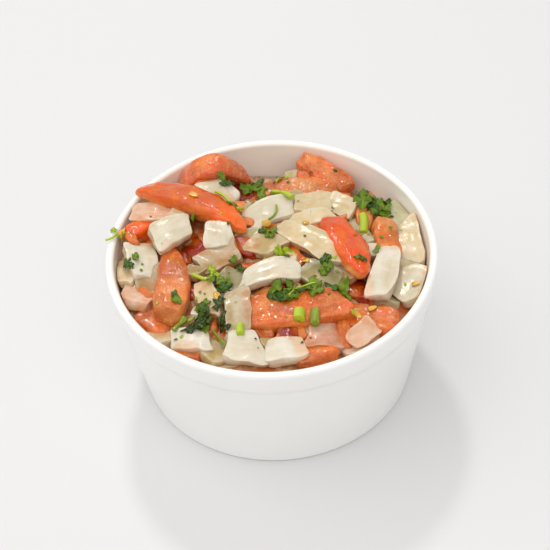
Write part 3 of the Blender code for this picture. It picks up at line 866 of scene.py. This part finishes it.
def height_on(heights, x, y):
    """Height of the heap at any points, between the map's cells in proportion."""
    u = np.clip(x / MAP_CELL + MAP_SIDE // 2, 0, MAP_SIDE - 1.001)
    v = np.clip(y / MAP_CELL + MAP_SIDE // 2, 0, MAP_SIDE - 1.001)
    i, j = u.astype(int), v.astype(int)
    u, v = u - i, v - j
    low = heights[i, j] * (1 - v) + heights[i, j + 1] * v
    high = heights[i + 1, j] * (1 - v) + heights[i + 1, j + 1] * v
    over_rim = np.hypot(x, y) > BOWL_RADIUS - 4 * MM
    found = low * (1 - u) + high * u
    return np.where(over_rim, np.maximum(found, BOWL_HEIGHT + 0.5 * MM), found)


def kept_inside(x, y, inside):
    """Draws places in to just inside the wall where their thing lies inside the bowl."""
    most = inside_radius(BOWL_HEIGHT) - 2.6 * MM
    draw = np.where(inside, np.minimum(most / np.maximum(np.hypot(x, y), MM), 1), 1)
    return x * draw, y * draw


def laid(sprigs, local, heights, drape, lift):
    """Turns each small thing about Z and lays it on the heap: part level with the heap
    under its own ends and sides, and part on what lies under each point."""
    turn = np.radians(column(sprigs, "turn"))
    x = column(sprigs, "x") + local[..., 0] * np.cos(turn) - local[..., 1] * np.sin(turn)
    y = column(sprigs, "y") + local[..., 0] * np.sin(turn) + local[..., 1] * np.cos(turn)
    x, y = x * MM, y * MM
    centre = np.hypot(column(sprigs, "x"), column(sprigs, "y")) * MM
    inside = centre < BOWL_RADIUS - 8 * MM
    x, y = kept_inside(x, y, inside)
    tangent = []
    for reach, axis in ((column(sprigs, "long"), 0), (column(sprigs, "wide"), np.pi / 2)):
        dx = REST_REACH * reach * np.cos(turn + axis)
        dy = REST_REACH * reach * np.sin(turn + axis)
        ends = []
        for sign in (1, -1):
            u = (column(sprigs, "x") + sign * dx) * MM
            v = (column(sprigs, "y") + sign * dy) * MM
            ends.append(height_on(heights, *kept_inside(u, v, inside)))
        high, low = ends
        rise = np.clip((high - low) / (2 * REST_REACH * reach), -STEEPEST, STEEPEST)
        tangent.append((high, low, rise))
    level = sum(high + low for high, low, _ in tangent) / 4
    level = level + local[..., 0] * tangent[0][2] + local[..., 1] * tangent[1][2]
    under = height_on(heights, x, y)
    z = level * (1 - drape) + under * drape + (local[..., 2] + lift) * MM
    z = np.minimum(z, CAD_BOX[1].z + OVER_SOLIDS)
    return clear_of_bowl(np.stack([x, y, np.maximum(z, under - SINK)], -1), ~inside)


def leaflets(leaves, rng):
    """Breaks each leaf into its curled leaflets: about one to every 17 square millimetres."""
    made = []
    for leaf in leaves:
        count = max(2, round(leaf.long * leaf.wide / LEAFLET_AREA))
        tones = {"dark": ("dark", "leaf"), "leaf": ("leaf", "dark", "leaf", "olive")}
        tones = tones.get(leaf.tone, (leaf.tone, leaf.tone, "leaf"))
        for i in range(count):
            angle = i * GOLDEN_ANGLE + rng.uniform(-0.5, 0.5)
            out = 0.36 * math.sqrt((i + 0.3) / count)
            u, v = out * leaf.long * math.cos(angle), out * leaf.wide * math.sin(angle)
            turn = math.radians(leaf.turn)
            x = leaf.x + u * math.cos(turn) - v * math.sin(turn)
            y = leaf.y + u * math.sin(turn) + v * math.cos(turn)
            size = min(leaf.long, leaf.wide) * rng.uniform(0.6, 0.95)
            wide = size * rng.uniform(0.6, 0.9)
            made.append(Sprig(tones[i % len(tones)], x, y, size, wide, rng.uniform(0, 360)))
    return made


def leaf_points(sprigs, rows, columns, rng):
    """Curled leaflets in millimetres: a grid from the top's middle over the edge to under it.

    The outline is a fan of uneven lobes, a + b|cos(k angle)|^0.6, longer to one side, with
    shallow teeth. The flat blade is rolled about a line through it: u becomes R sin(u / R) and
    R(1 - cos(u / R)) is added to its height. Waves pucker its edge, where it is thinnest.
    """
    s = np.linspace(0, 2, rows + 2)[1:-1, None]
    rho = 1 - np.abs(1 - s)
    angle = around(columns)[None]
    shape = (len(sprigs), 1, 1)
    lobes = rng.integers(3, 5, shape) / 2
    phase = rng.uniform(0, np.pi, shape)
    bent = angle + 0.35 * np.sin(angle + rng.uniform(0, 6, shape))
    lobe = np.abs(np.cos(lobes * bent + phase))
    outline = (0.5 + 0.5 * lobe**0.6) * (0.85 + 0.22 * np.cos(angle + rng.uniform(0, 6, shape)))
    outline = outline * (1 + 0.05 * np.cos(rng.integers(8, 12, shape) * bent))
    x = rho * outline * np.cos(angle) * column(sprigs, "long")[..., None] / 2
    y = rho * outline * np.sin(angle) * column(sprigs, "wide")[..., None] / 2
    across = rng.uniform(0, np.pi, shape)
    u, v = x * np.cos(across) + y * np.sin(across), -x * np.sin(across) + y * np.cos(across)
    roll = column(sprigs, "long")[..., None] / 2 / rng.uniform(0.5, 1.25, shape)
    curled = 1.3 * roll * (1 - np.cos(u / roll)) * rng.choice([-0.7, 1.0], shape)
    u = roll * np.sin(u / roll)
    x, y = u * np.cos(across) - v * np.sin(across), u * np.sin(across) + v * np.cos(across)
    size = column(sprigs, "long")[..., None]
    wave = np.sin(rng.integers(3, 6, shape) * angle + rng.uniform(0, 6, shape))
    vein = -0.03 * size * lobe**8 * rho
    thick = 0.14 * np.sqrt(np.maximum(1 - rho**6, 0)) * np.sign(1 - s)
    z = curled + 0.10 * size * rho**1.6 * wave + vein + thick
    return np.stack([x, y, z], -1), rho + 0 * x, np.cos(lobes * bent + phase) + 0 * x


def closed_rows(grid):
    """Adds a pole before the first row and after the last: the mean of that row."""
    first, last = grid[:, 0].mean(1, keepdims=True), grid[:, -1].mean(1, keepdims=True)
    return np.concatenate([first, grid.reshape(len(grid), -1, grid.shape[-1]), last], 1)


def rested_object(name, sprigs, grid, tint, drape, lift, heights, material):
    """Joins small things of one kind into one mesh, resting on the heap."""
    local = closed_rows(grid)
    points = laid(sprigs, local, heights, drape, lift)
    quads, triangles = turned_faces(grid.shape[1], grid.shape[2])
    step = points.shape[1]
    layers = {"tint": closed_rows(tint).reshape(-1, 3), "grain": local.reshape(-1, 3)}
    faces = [repeated(kind, len(sprigs), step) for kind in (quads, triangles)]
    finished(name, points.reshape(-1, 3), *faces, layers, material)


def scattered(count, rng, reach, tones, sizes):
    """Small things spread over the heap: square-root radii and free angles, seeded."""
    out = np.sqrt(rng.uniform(0, 1, count)) * reach
    angle = rng.uniform(0, 2 * np.pi, count)
    made = []
    for i in range(count):
        size = rng.uniform(*sizes)
        x, y = out[i] * math.cos(angle[i]), out[i] * math.sin(angle[i])
        wide = size * rng.uniform(0.6, 1)
        made.append(Sprig(tones[i % len(tones)], x, y, size, wide, rng.uniform(0, 180)))
    return made


class PICO_OT_leaves(bpy.types.Operator):
    """Lay the torn cilantro leaves and the small green flecks on the heap"""

    bl_idname = "pico.leaves"
    bl_label = "Leaves"

    def execute(self, context):
        rng = np.random.default_rng(11)
        heights = heap_map()
        made = leaf_material()
        leaves = leaflets(LEAVES, rng)
        grid, rho, rib = leaf_points(leaves, 11, 48, rng)
        tint = tones_of(leaves)[:, None, None]
        tint = tint * (0.8 + 0.6 * (np.abs(rib) ** 6 * (1 - 0.6 * rho))[..., None])
        rested_object("cilantro_leaves", leaves, grid, tint, 0.45, 0.5, heights, made)
        tones = ("dark", "leaf", "olive", "dark", "lime")
        flecks = scattered(FLECK_COUNT, rng, FLECK_REACH, tones, FLECK_SIZE)
        grid, _, _ = leaf_points(flecks, 5, 14, rng)
        tint = tones_of(flecks)[:, None, None] + 0 * grid
        rested_object("green_flecks", flecks, grid * (1, 1, 0.6), tint, 1, 0.1, heights, made)
        return {"FINISHED"}


def stem_points(stems, rows, columns, bend):
    """Cut stems in millimetres: ridged tubes along X that bow sideways by bend."""
    t = np.sin(np.linspace(-1, 1, rows) * np.pi / 2)[:, None]
    angle = around(columns)[None]
    shape = (len(stems), 1, 1)
    number = np.arange(len(stems)).reshape(shape)
    radius = column(stems, "wide")[..., None] / 2 * (1 + 0.07 * np.cos(5 * angle))
    radius = radius * (1 - 0.2 * t**60)
    side = bend * column(stems, "long")[..., None] * (0.5 - t * t) * np.cos(number * 2.4)
    x = column(stems, "long")[..., None] / 2 * t + 0 * radius
    return np.stack([x, side + radius * np.cos(angle), radius * np.sin(angle)], -1)


class PICO_OT_stems(bpy.types.Operator):
    """Lay the cut green stems and the thin strands on the heap"""

    bl_idname = "pico.stems"
    bl_label = "Stems"

    def execute(self, context):
        heights = heap_map()
        made = stem_material()
        for name, stems, bend, lift in (
            ("cilantro_stems", STEMS, 0.04, 0.7),
            ("cilantro_strands", STRANDS, 0.16, 0.3),
        ):
            grid = stem_points(stems, 15, 16, bend)
            tint = tones_of(stems)[:, None, None] + 0 * grid
            rested_object(name, stems, grid, tint, 0.3, lift, heights, made)
        return {"FINISHED"}


class PICO_OT_seeds(bpy.types.Operator):
    """Lay the tomato seeds on the heap"""

    bl_idname = "pico.seeds"
    bl_label = "Seeds"

    def execute(self, context):
        t = np.linspace(-1, 1, 13)[1:-1, None]
        angle = around(16)[None]
        width = np.sqrt(1 - t * t) * (0.8 - 0.25 * t)
        long, wide = column(SEEDS, "long")[..., None], column(SEEDS, "wide")[..., None]
        y = width * np.cos(angle) * wide / 2
        z = width * np.sin(angle) * wide * 0.22
        grid = np.stack([t * long / 2 + 0 * y, y, z], -1)
        tint = tones_of(SEEDS)[:, None, None] * (0.85 + 0.2 * t[None, ..., None]) + 0 * grid
        rested_object("tomato_seeds", SEEDS, grid, tint, 0.5, 0.4, heap_map(), seed_material())
        return {"FINISHED"}


# Where a deep red gap between the pieces stays open, in millimetres.
OPEN_GAPS = (
    (-37.0, 4.0),
    (-37.0, -13.0),
    (-23.5, 5.0),
    (-22.0, 10.0),
    (-8.0, 2.5),
    (-8.5, 32.0),
    (-27.0, -27.0),
    (24.5, -14.5),
    (20.0, -32.0),
)


def hollows(count, apart):
    """The lowest places of the heap against what is round them, each apart from the others."""
    fine, wide = heap_map(passes=2), heap_map(passes=40)
    tried = 900
    out = np.sqrt((np.arange(tried) + 0.5) / tried) * HOLLOW_REACH
    x = out * np.cos(np.arange(tried) * GOLDEN_ANGLE)
    y = out * np.sin(np.arange(tried) * GOLDEN_ANGLE)
    level = height_on(wide, x, y)
    chosen = []
    depth = level - height_on(fine, x, y)
    for spot in np.argsort(-depth):
        near = any(math.hypot(x[spot] - u, y[spot] - v) < apart for u, v, _ in chosen)
        near |= any(
            math.hypot(x[spot] - u * MM, y[spot] - v * MM) < GAP_REACH for u, v in OPEN_GAPS
        )
        if depth[spot] > HOLLOW_DEPTH and not near:
            chosen.append((x[spot], y[spot], level[spot]))
    return chosen[:count]


class PICO_OT_crumbs(bpy.types.Operator):
    """Fill the gaps between the pieces with smaller chopped bits"""

    bl_idname = "pico.crumbs"
    bl_label = "Small bits"

    def execute(self, context):
        rng = np.random.default_rng(17)
        places = hollows(MOST_BITS, BIT_SPACING)
        kinds = {
            "tomato_bits": (("salmon", "pale", "rose", "pale"), tomato_colours, tomato_material, 8),
            "onion_bits": (("cream", "grey", "tan", "white"), onion_colours, onion_material, 16),
        }
        for k, (name, (tones, colouring, material, power)) in enumerate(kinds.items()):
            pieces = []
            for i, (x, y, level) in enumerate(places[k::2]):
                size = rng.uniform(*BIT_SIZE)
                shape = (size, size * rng.uniform(0.5, 0.9), size * rng.uniform(0.35, 0.5))
                where = (x / MM, y / MM, level / MM - rng.uniform(0.9, 2.2))
                lean = rng.uniform(-16, 16, 2)
                pieces.append(Piece(tones[i % 4], *where, *shape, rng.uniform(0, 180), *lean))
            numbers = range(len(pieces))
            args = (pieces, numbers, power, 0.07, 0.12, 40 + k, colouring, material())
            chopped_object(name, *args, count=10)
        return {"FINISHED"}


# The materials.
class Nodes:
    """The nodes of one new material, added and linked by short calls."""

    def __init__(self, name, roughness, soft=None, **fixed):
        self.material = bpy.data.materials.new(name)
        self.material.use_nodes = True
        self.tree = self.material.node_tree
        self.shader = self.tree.nodes["Principled BSDF"]
        if soft:
            parts = ("Subsurface_Weight", "Subsurface_Scale", "Subsurface_Radius")
            fixed.update(zip(parts, soft))
        self.fill(self.shader, Roughness=roughness, **fixed)

    def put(self, socket, value):
        """Links a socket to another one, or gives it a value."""
        if isinstance(value, bpy.types.NodeSocket):
            self.tree.links.new(value, socket)
        else:
            socket.default_value = value

    def fill(self, node, **inputs):
        for name, value in inputs.items():
            self.put(node.inputs[name.replace("_", " ")], value)

    def finish(self, **inputs):
        """Fills the shader's inputs and gives the material."""
        self.fill(self.shader, **inputs)
        return self.material

    def add(self, kind, settings=None, **inputs):
        node = self.tree.nodes.new(kind)
        for name, value in (settings or {}).items():
            setattr(node, name, value)
        self.fill(node, **inputs)
        return node

    def noise(self, vector, scale, detail, roughness=0.55):
        inputs = {"Vector": vector, "Scale": scale, "Detail": detail, "Roughness": roughness}
        return self.add("ShaderNodeTexNoise", **inputs).outputs["Fac"]

    def ramp(self, value, low, high, end, start=0):
        """Maps a value from low and high onto start and end, held at both ends."""
        inputs = {"From_Min": low, "From_Max": high, "To_Min": start, "To_Max": end}
        settings = {"interpolation_type": "SMOOTHSTEP"}
        return self.add("ShaderNodeMapRange", settings, Value=value, **inputs).outputs["Result"]

    def cloud(self, vector, scale, detail, *span):
        """Noise mapped by a ramp."""
        return self.ramp(self.noise(vector, scale, detail), *span)

    def blend(self, share, first, second, how="MIX"):
        made = self.add("ShaderNodeMix", {"data_type": "RGBA", "blend_type": how})
        for socket, value in ((0, share), (6, first), (7, second)):
            self.put(made.inputs[socket], (*value, 1) if isinstance(value, tuple) else value)
        return made.outputs[2]

    def bump(self, height, strength, distance):
        inputs = {"Height": height, "Strength": strength, "Distance": distance}
        return self.add("ShaderNodeBump", **inputs).outputs["Normal"]

    def attribute(self, name, output):
        return self.add("ShaderNodeAttribute", {"attribute_name": name}).outputs[output]

    def own(self):
        """A piece's own places and its tint, from its mesh."""
        return self.attribute("grain", "Vector"), self.attribute("tint", "Color")

    def place(self):
        return self.add("ShaderNodeTexCoord").outputs["Object"]

    def stretched(self, vector, scale):
        return self.add("ShaderNodeMapping", Vector=vector, Scale=scale).outputs["Vector"]


def glaze_material(colour):
    """White glaze: a faint warm cloud, the slight unevenness of its gloss, and a yellower inside
    that is painted warm light.
    """
    nodes = Nodes("white_glaze", 0.3, Coat_Weight=0.35, Coat_Roughness=0.1, IOR=1.5)
    place = nodes.place()
    warm = tuple(c * k for c, k in zip(colour, (0.985, 0.972, 0.95)))
    outside = nodes.blend(nodes.cloud(place, 60, 3, 0.35, 0.7, 0.5), tuple(colour), warm)
    # Painted warm light: the inside of the bowl takes a yellower glaze than the outside.
    glaze = nodes.blend(nodes.attribute("inner", "Fac"), outside, (0.97, 0.945, 0.86))
    return nodes.finish(
        Base_Color=glaze, Roughness=nodes.cloud(place, 30, 1, 0.3, 0.7, 0.33, 0.29)
    )


def juice_material(colour):
    """The wet core: dark red-brown juice with paler pulp."""
    nodes = Nodes("salsa_juice", 0.15, Coat_Weight=0.6, Coat_Roughness=0.05)
    place = nodes.place()
    body = tuple(colour)
    for *pattern, tone in (
        (420, 5, 0.5, 0.7, 0.8, (0.76, 0.58, 0.36)),
        (90, 2, 0.46, 0.6, 0.9, (0.48, 0.12, 0.03)),
        (300, 3, 0.6, 0.7, 0.6, (0.26, 0.27, 0.08)),
    ):
        body = nodes.blend(nodes.cloud(place, *pattern), body, tone)
    pulp = nodes.bump(nodes.noise(place, 700, 3), 0.5, 0.0004)
    return nodes.finish(Base_Color=body, Normal=pulp)


def tomato_material():
    """Tomato: pale streaks and dots in the flesh, a smooth glossy skin, and juice over both."""
    if "tomato" in bpy.data.materials:
        return bpy.data.materials["tomato"]
    soft = (0.5, 0.0012, (1.0, 0.5, 0.2))
    wet = {"Coat_Weight": 0.9, "Coat_Roughness": 0.05, "Specular_IOR_Level": 0.1}
    nodes = Nodes("tomato", 0.25, soft, **wet)
    place = nodes.place()
    grain, tint = nodes.own()
    streak = nodes.noise(nodes.stretched(grain, (0.5, 0.9, 0.9)), 0.8, 4, 0.6)
    flesh = nodes.blend(nodes.ramp(streak, 0.46, 0.64, 0.4), tint, (0.86, 0.36, 0.08))
    dots = nodes.cloud(grain, 2.6, 2, 0.56, 0.66, 0.3)
    flesh = nodes.blend(dots, flesh, (0.90, 0.48, 0.15))
    dark = nodes.cloud(place, 150, 4, 0.46, 0.62, 0.55)
    flesh = nodes.blend(dark, flesh, (0.52, 0.11, 0.015))
    mottle = nodes.cloud(place, 200, 3, 0.45, 0.62, 0.4)
    skin = nodes.blend(mottle, tint, (0.86, 0.21, 0.005))
    return nodes.finish(
        Base_Color=nodes.blend(nodes.attribute("skin", "Fac"), flesh, skin),
        Roughness=nodes.cloud(place, 500, 4, 0.35, 0.7, 0.26, 0.10),
        Normal=nodes.bump(nodes.noise(grain, 0.7, 3, 0.5), 0.5, 0.0010),
        Coat_Normal=nodes.bump(nodes.noise(place, 420, 2), 0.9, 0.0007),
    )


def onion_material():
    """Onion: bright and half clear, with faint lines along each layer and a wet gloss."""
    if "onion" in bpy.data.materials:
        return bpy.data.materials["onion"]
    soft = (0.5, 0.0006, (1.0, 0.8, 0.6))
    wet = {"Coat_Weight": 0.12, "Coat_Roughness": 0.08, "Specular_IOR_Level": 0.25}
    nodes = Nodes("onion", 0.25, soft, **wet)
    place = nodes.place()
    grain, tint = nodes.own()
    line = nodes.noise(nodes.stretched(grain, (0.12, 0.7, 0.7)), 1.0, 2, 0.5)
    lined = nodes.ramp(line, 0.46, 0.66, 0.4)
    body = nodes.blend(lined, tint, (0.88, 0.84, 0.72), "MULTIPLY")
    cloud = nodes.cloud(place, 240, 4, 0.46, 0.6, 0.4)
    return nodes.finish(
        Base_Color=nodes.blend(cloud, body, (0.36, 0.34, 0.30), "SCREEN"),
        Roughness=nodes.cloud(place, 300, 3, 0.35, 0.7, 0.265, 0.20),
        Normal=nodes.bump(nodes.noise(place, 260, 3), 0.4, 0.0006),
    )


def leaf_material():
    """Cilantro leaf: darker and paler cells, a wet gloss, and puckers between the veins."""
    soft = (0.1, 0.0006, (0.6, 1.0, 0.2))
    wet = {"Coat_Weight": 0.1, "Coat_Roughness": 0.15, "Specular_IOR_Level": 0.35}
    nodes = Nodes("cilantro_leaf", 0.4, soft, **wet)
    grain, tint = nodes.own()
    cells = nodes.cloud(grain, 1.4, 4, 0.4, 0.7, 0.6)
    return nodes.finish(
        Base_Color=nodes.blend(cells, tint, (0.14, 0.25, 0.01)),
        Normal=nodes.bump(nodes.noise(grain, 2.5, 4), 0.5, 0.0004),
    )


def stem_material():
    """Cut stem: pale green with darker lines along it."""
    soft = (0.3, 0.001, (0.7, 1.0, 0.3))
    nodes = Nodes("cilantro_stem", 0.3, soft, Coat_Weight=0.3, Coat_Roughness=0.1)
    grain, tint = nodes.own()
    lines = nodes.noise(nodes.stretched(grain, (0.15, 2.0, 2.0)), 1.2, 3)
    return nodes.finish(
        Base_Color=nodes.blend(nodes.ramp(lines, 0.4, 0.7, 0.6), tint, (0.50, 0.60, 0.05)),
        Normal=nodes.bump(lines, 0.4, 0.0004),
    )


def seed_material():
    """Tomato seed: straw yellow in its clear wet coat."""
    soft = (0.3, 0.001, (1.0, 0.7, 0.3))
    nodes = Nodes("tomato_seed", 0.3, soft, Coat_Weight=0.8, Coat_Roughness=0.05)
    grain, tint = nodes.own()
    spots = nodes.cloud(grain, 1.5, 3, 0.45, 0.7, 0.5)
    return nodes.finish(
        Base_Color=nodes.blend(spots, tint, (0.74, 0.50, 0.16)),
        Normal=nodes.bump(nodes.noise(grain, 3, 3), 0.3, 0.0002),
    )


def floor_material(colour):
    """The plain pale floor, with the faintest unevenness."""
    nodes = Nodes("pale_floor", 0.6)
    cloud = nodes.cloud(nodes.place(), 6, 2, 0.3, 0.7, 1)
    darker = tuple(c * 0.992 for c in colour)
    return nodes.finish(Base_Color=nodes.blend(cloud, tuple(colour), darker))


class PICO_OT_stage(bpy.types.Operator):
    """Lay the pale floor, set the soft light and stand the camera where the photographer stood"""

    bl_idname = "pico.stage"
    bl_label = "Stage"

    def execute(self, context):
        scene, stage = context.scene, context.scene.pico_stage
        side = 4.0
        u, v = np.meshgrid((-side, side), (-side, side), indexing="ij")
        points = np.stack([u, v, 0 * u], -1).reshape(-1, 3)
        mesh = bpy.data.meshes.new("floor")
        mesh.from_pydata(points.tolist(), [], [(0, 2, 3, 1)])
        floor = bpy.data.objects.new("floor", mesh)
        scene.collection.objects.link(floor)
        mesh.materials.append(floor_material(stage.floor))

        world = bpy.data.worlds.new("studio")
        scene.world = world
        world.use_nodes = True
        sky = world.node_tree.nodes["Background"]
        sky.inputs["Color"].default_value = (1.0, 0.995, 0.985, 1)
        sky.inputs["Strength"].default_value = stage.sky

        for name, place, size, share in (
            ("key_light", (-0.75, 0.0, 1.2), 1.4, 0.50),
            ("front_light", (0.15, -0.7, 1.3), 1.4, 0.50),
            ("top_light", (-0.11, 0.8, 1.1), 0.16, 0.34),
        ):
            lamp = bpy.data.lights.new(name, "AREA")
            lamp.shape = "DISK"
            lamp.size = size
            lamp.energy = LAMP_WATTS * stage.key * share
            lamp.color = (1.0, 0.985, 0.96)
            light = bpy.data.objects.new(name, lamp)
            scene.collection.objects.link(light)
            light.location = place
            aim = LAMP_AIM - light.location
            light.rotation_euler = aim.to_track_quat("-Z", "Y").to_euler()

        lens = bpy.data.cameras.new("camera")
        lens.lens = stage.lens
        lens.sensor_width = SENSOR
        lens.clip_start = 0.01
        lens.dof.use_dof = False
        camera = bpy.data.objects.new("camera", lens)
        scene.collection.objects.link(camera)
        down, roll = stage.camera_down, stage.camera_roll
        look = Matrix.Rotation(math.radians(90) - down, 4, "X") @ Matrix.Rotation(roll, 4, "Z")
        camera.matrix_world = Matrix.Translation(stage.camera_place) @ look
        scene.camera = camera
        scene.view_settings.view_transform = "Standard"
        scene.view_settings.look = "None"
        return {"FINISHED"}


STEPS = (
    PICO_OT_bowl,
    PICO_OT_core,
    PICO_OT_tomatoes,
    PICO_OT_onions,
    PICO_OT_crumbs,
    PICO_OT_leaves,
    PICO_OT_stems,
    PICO_OT_seeds,
    PICO_OT_stage,
)


class PICO_PT_panel(bpy.types.Panel):
    """The bowl of salsa, step by step"""

    bl_label = "Pico de gallo"
    bl_idname = "PICO_PT_panel"
    bl_space_type = "VIEW_3D"
    bl_region_type = "UI"
    bl_category = "Pico"

    def draw(self, context):
        column_of_buttons = self.layout.column(align=True)
        for step in STEPS:
            column_of_buttons.operator(step.bl_idname)
        for group in ("pico_bowl", "pico_heap", "pico_stage"):
            settings = getattr(context.scene, group)
            box = self.layout.box()
            for name in settings.__annotations__:
                box.prop(settings, name)


CLASSES = (BowlSettings, HeapSettings, StageSettings, *STEPS, PICO_PT_panel)


def register():
    for made in CLASSES:
        bpy.utils.register_class(made)
    bpy.types.Scene.pico_bowl = PointerProperty(type=BowlSettings)
    bpy.types.Scene.pico_heap = PointerProperty(type=HeapSettings)
    bpy.types.Scene.pico_stage = PointerProperty(type=StageSettings)


def unregister():
    del bpy.types.Scene.pico_stage
    del bpy.types.Scene.pico_heap
    del bpy.types.Scene.pico_bowl
    for made in reversed(CLASSES):
        bpy.utils.unregister_class(made)


def main():
    register()
    for step in STEPS:
        group, name = step.bl_idname.split(".")
        getattr(getattr(bpy.ops, group), name)()
    bpy.context.view_layer.update()


if __name__ == "__main__":
    main()
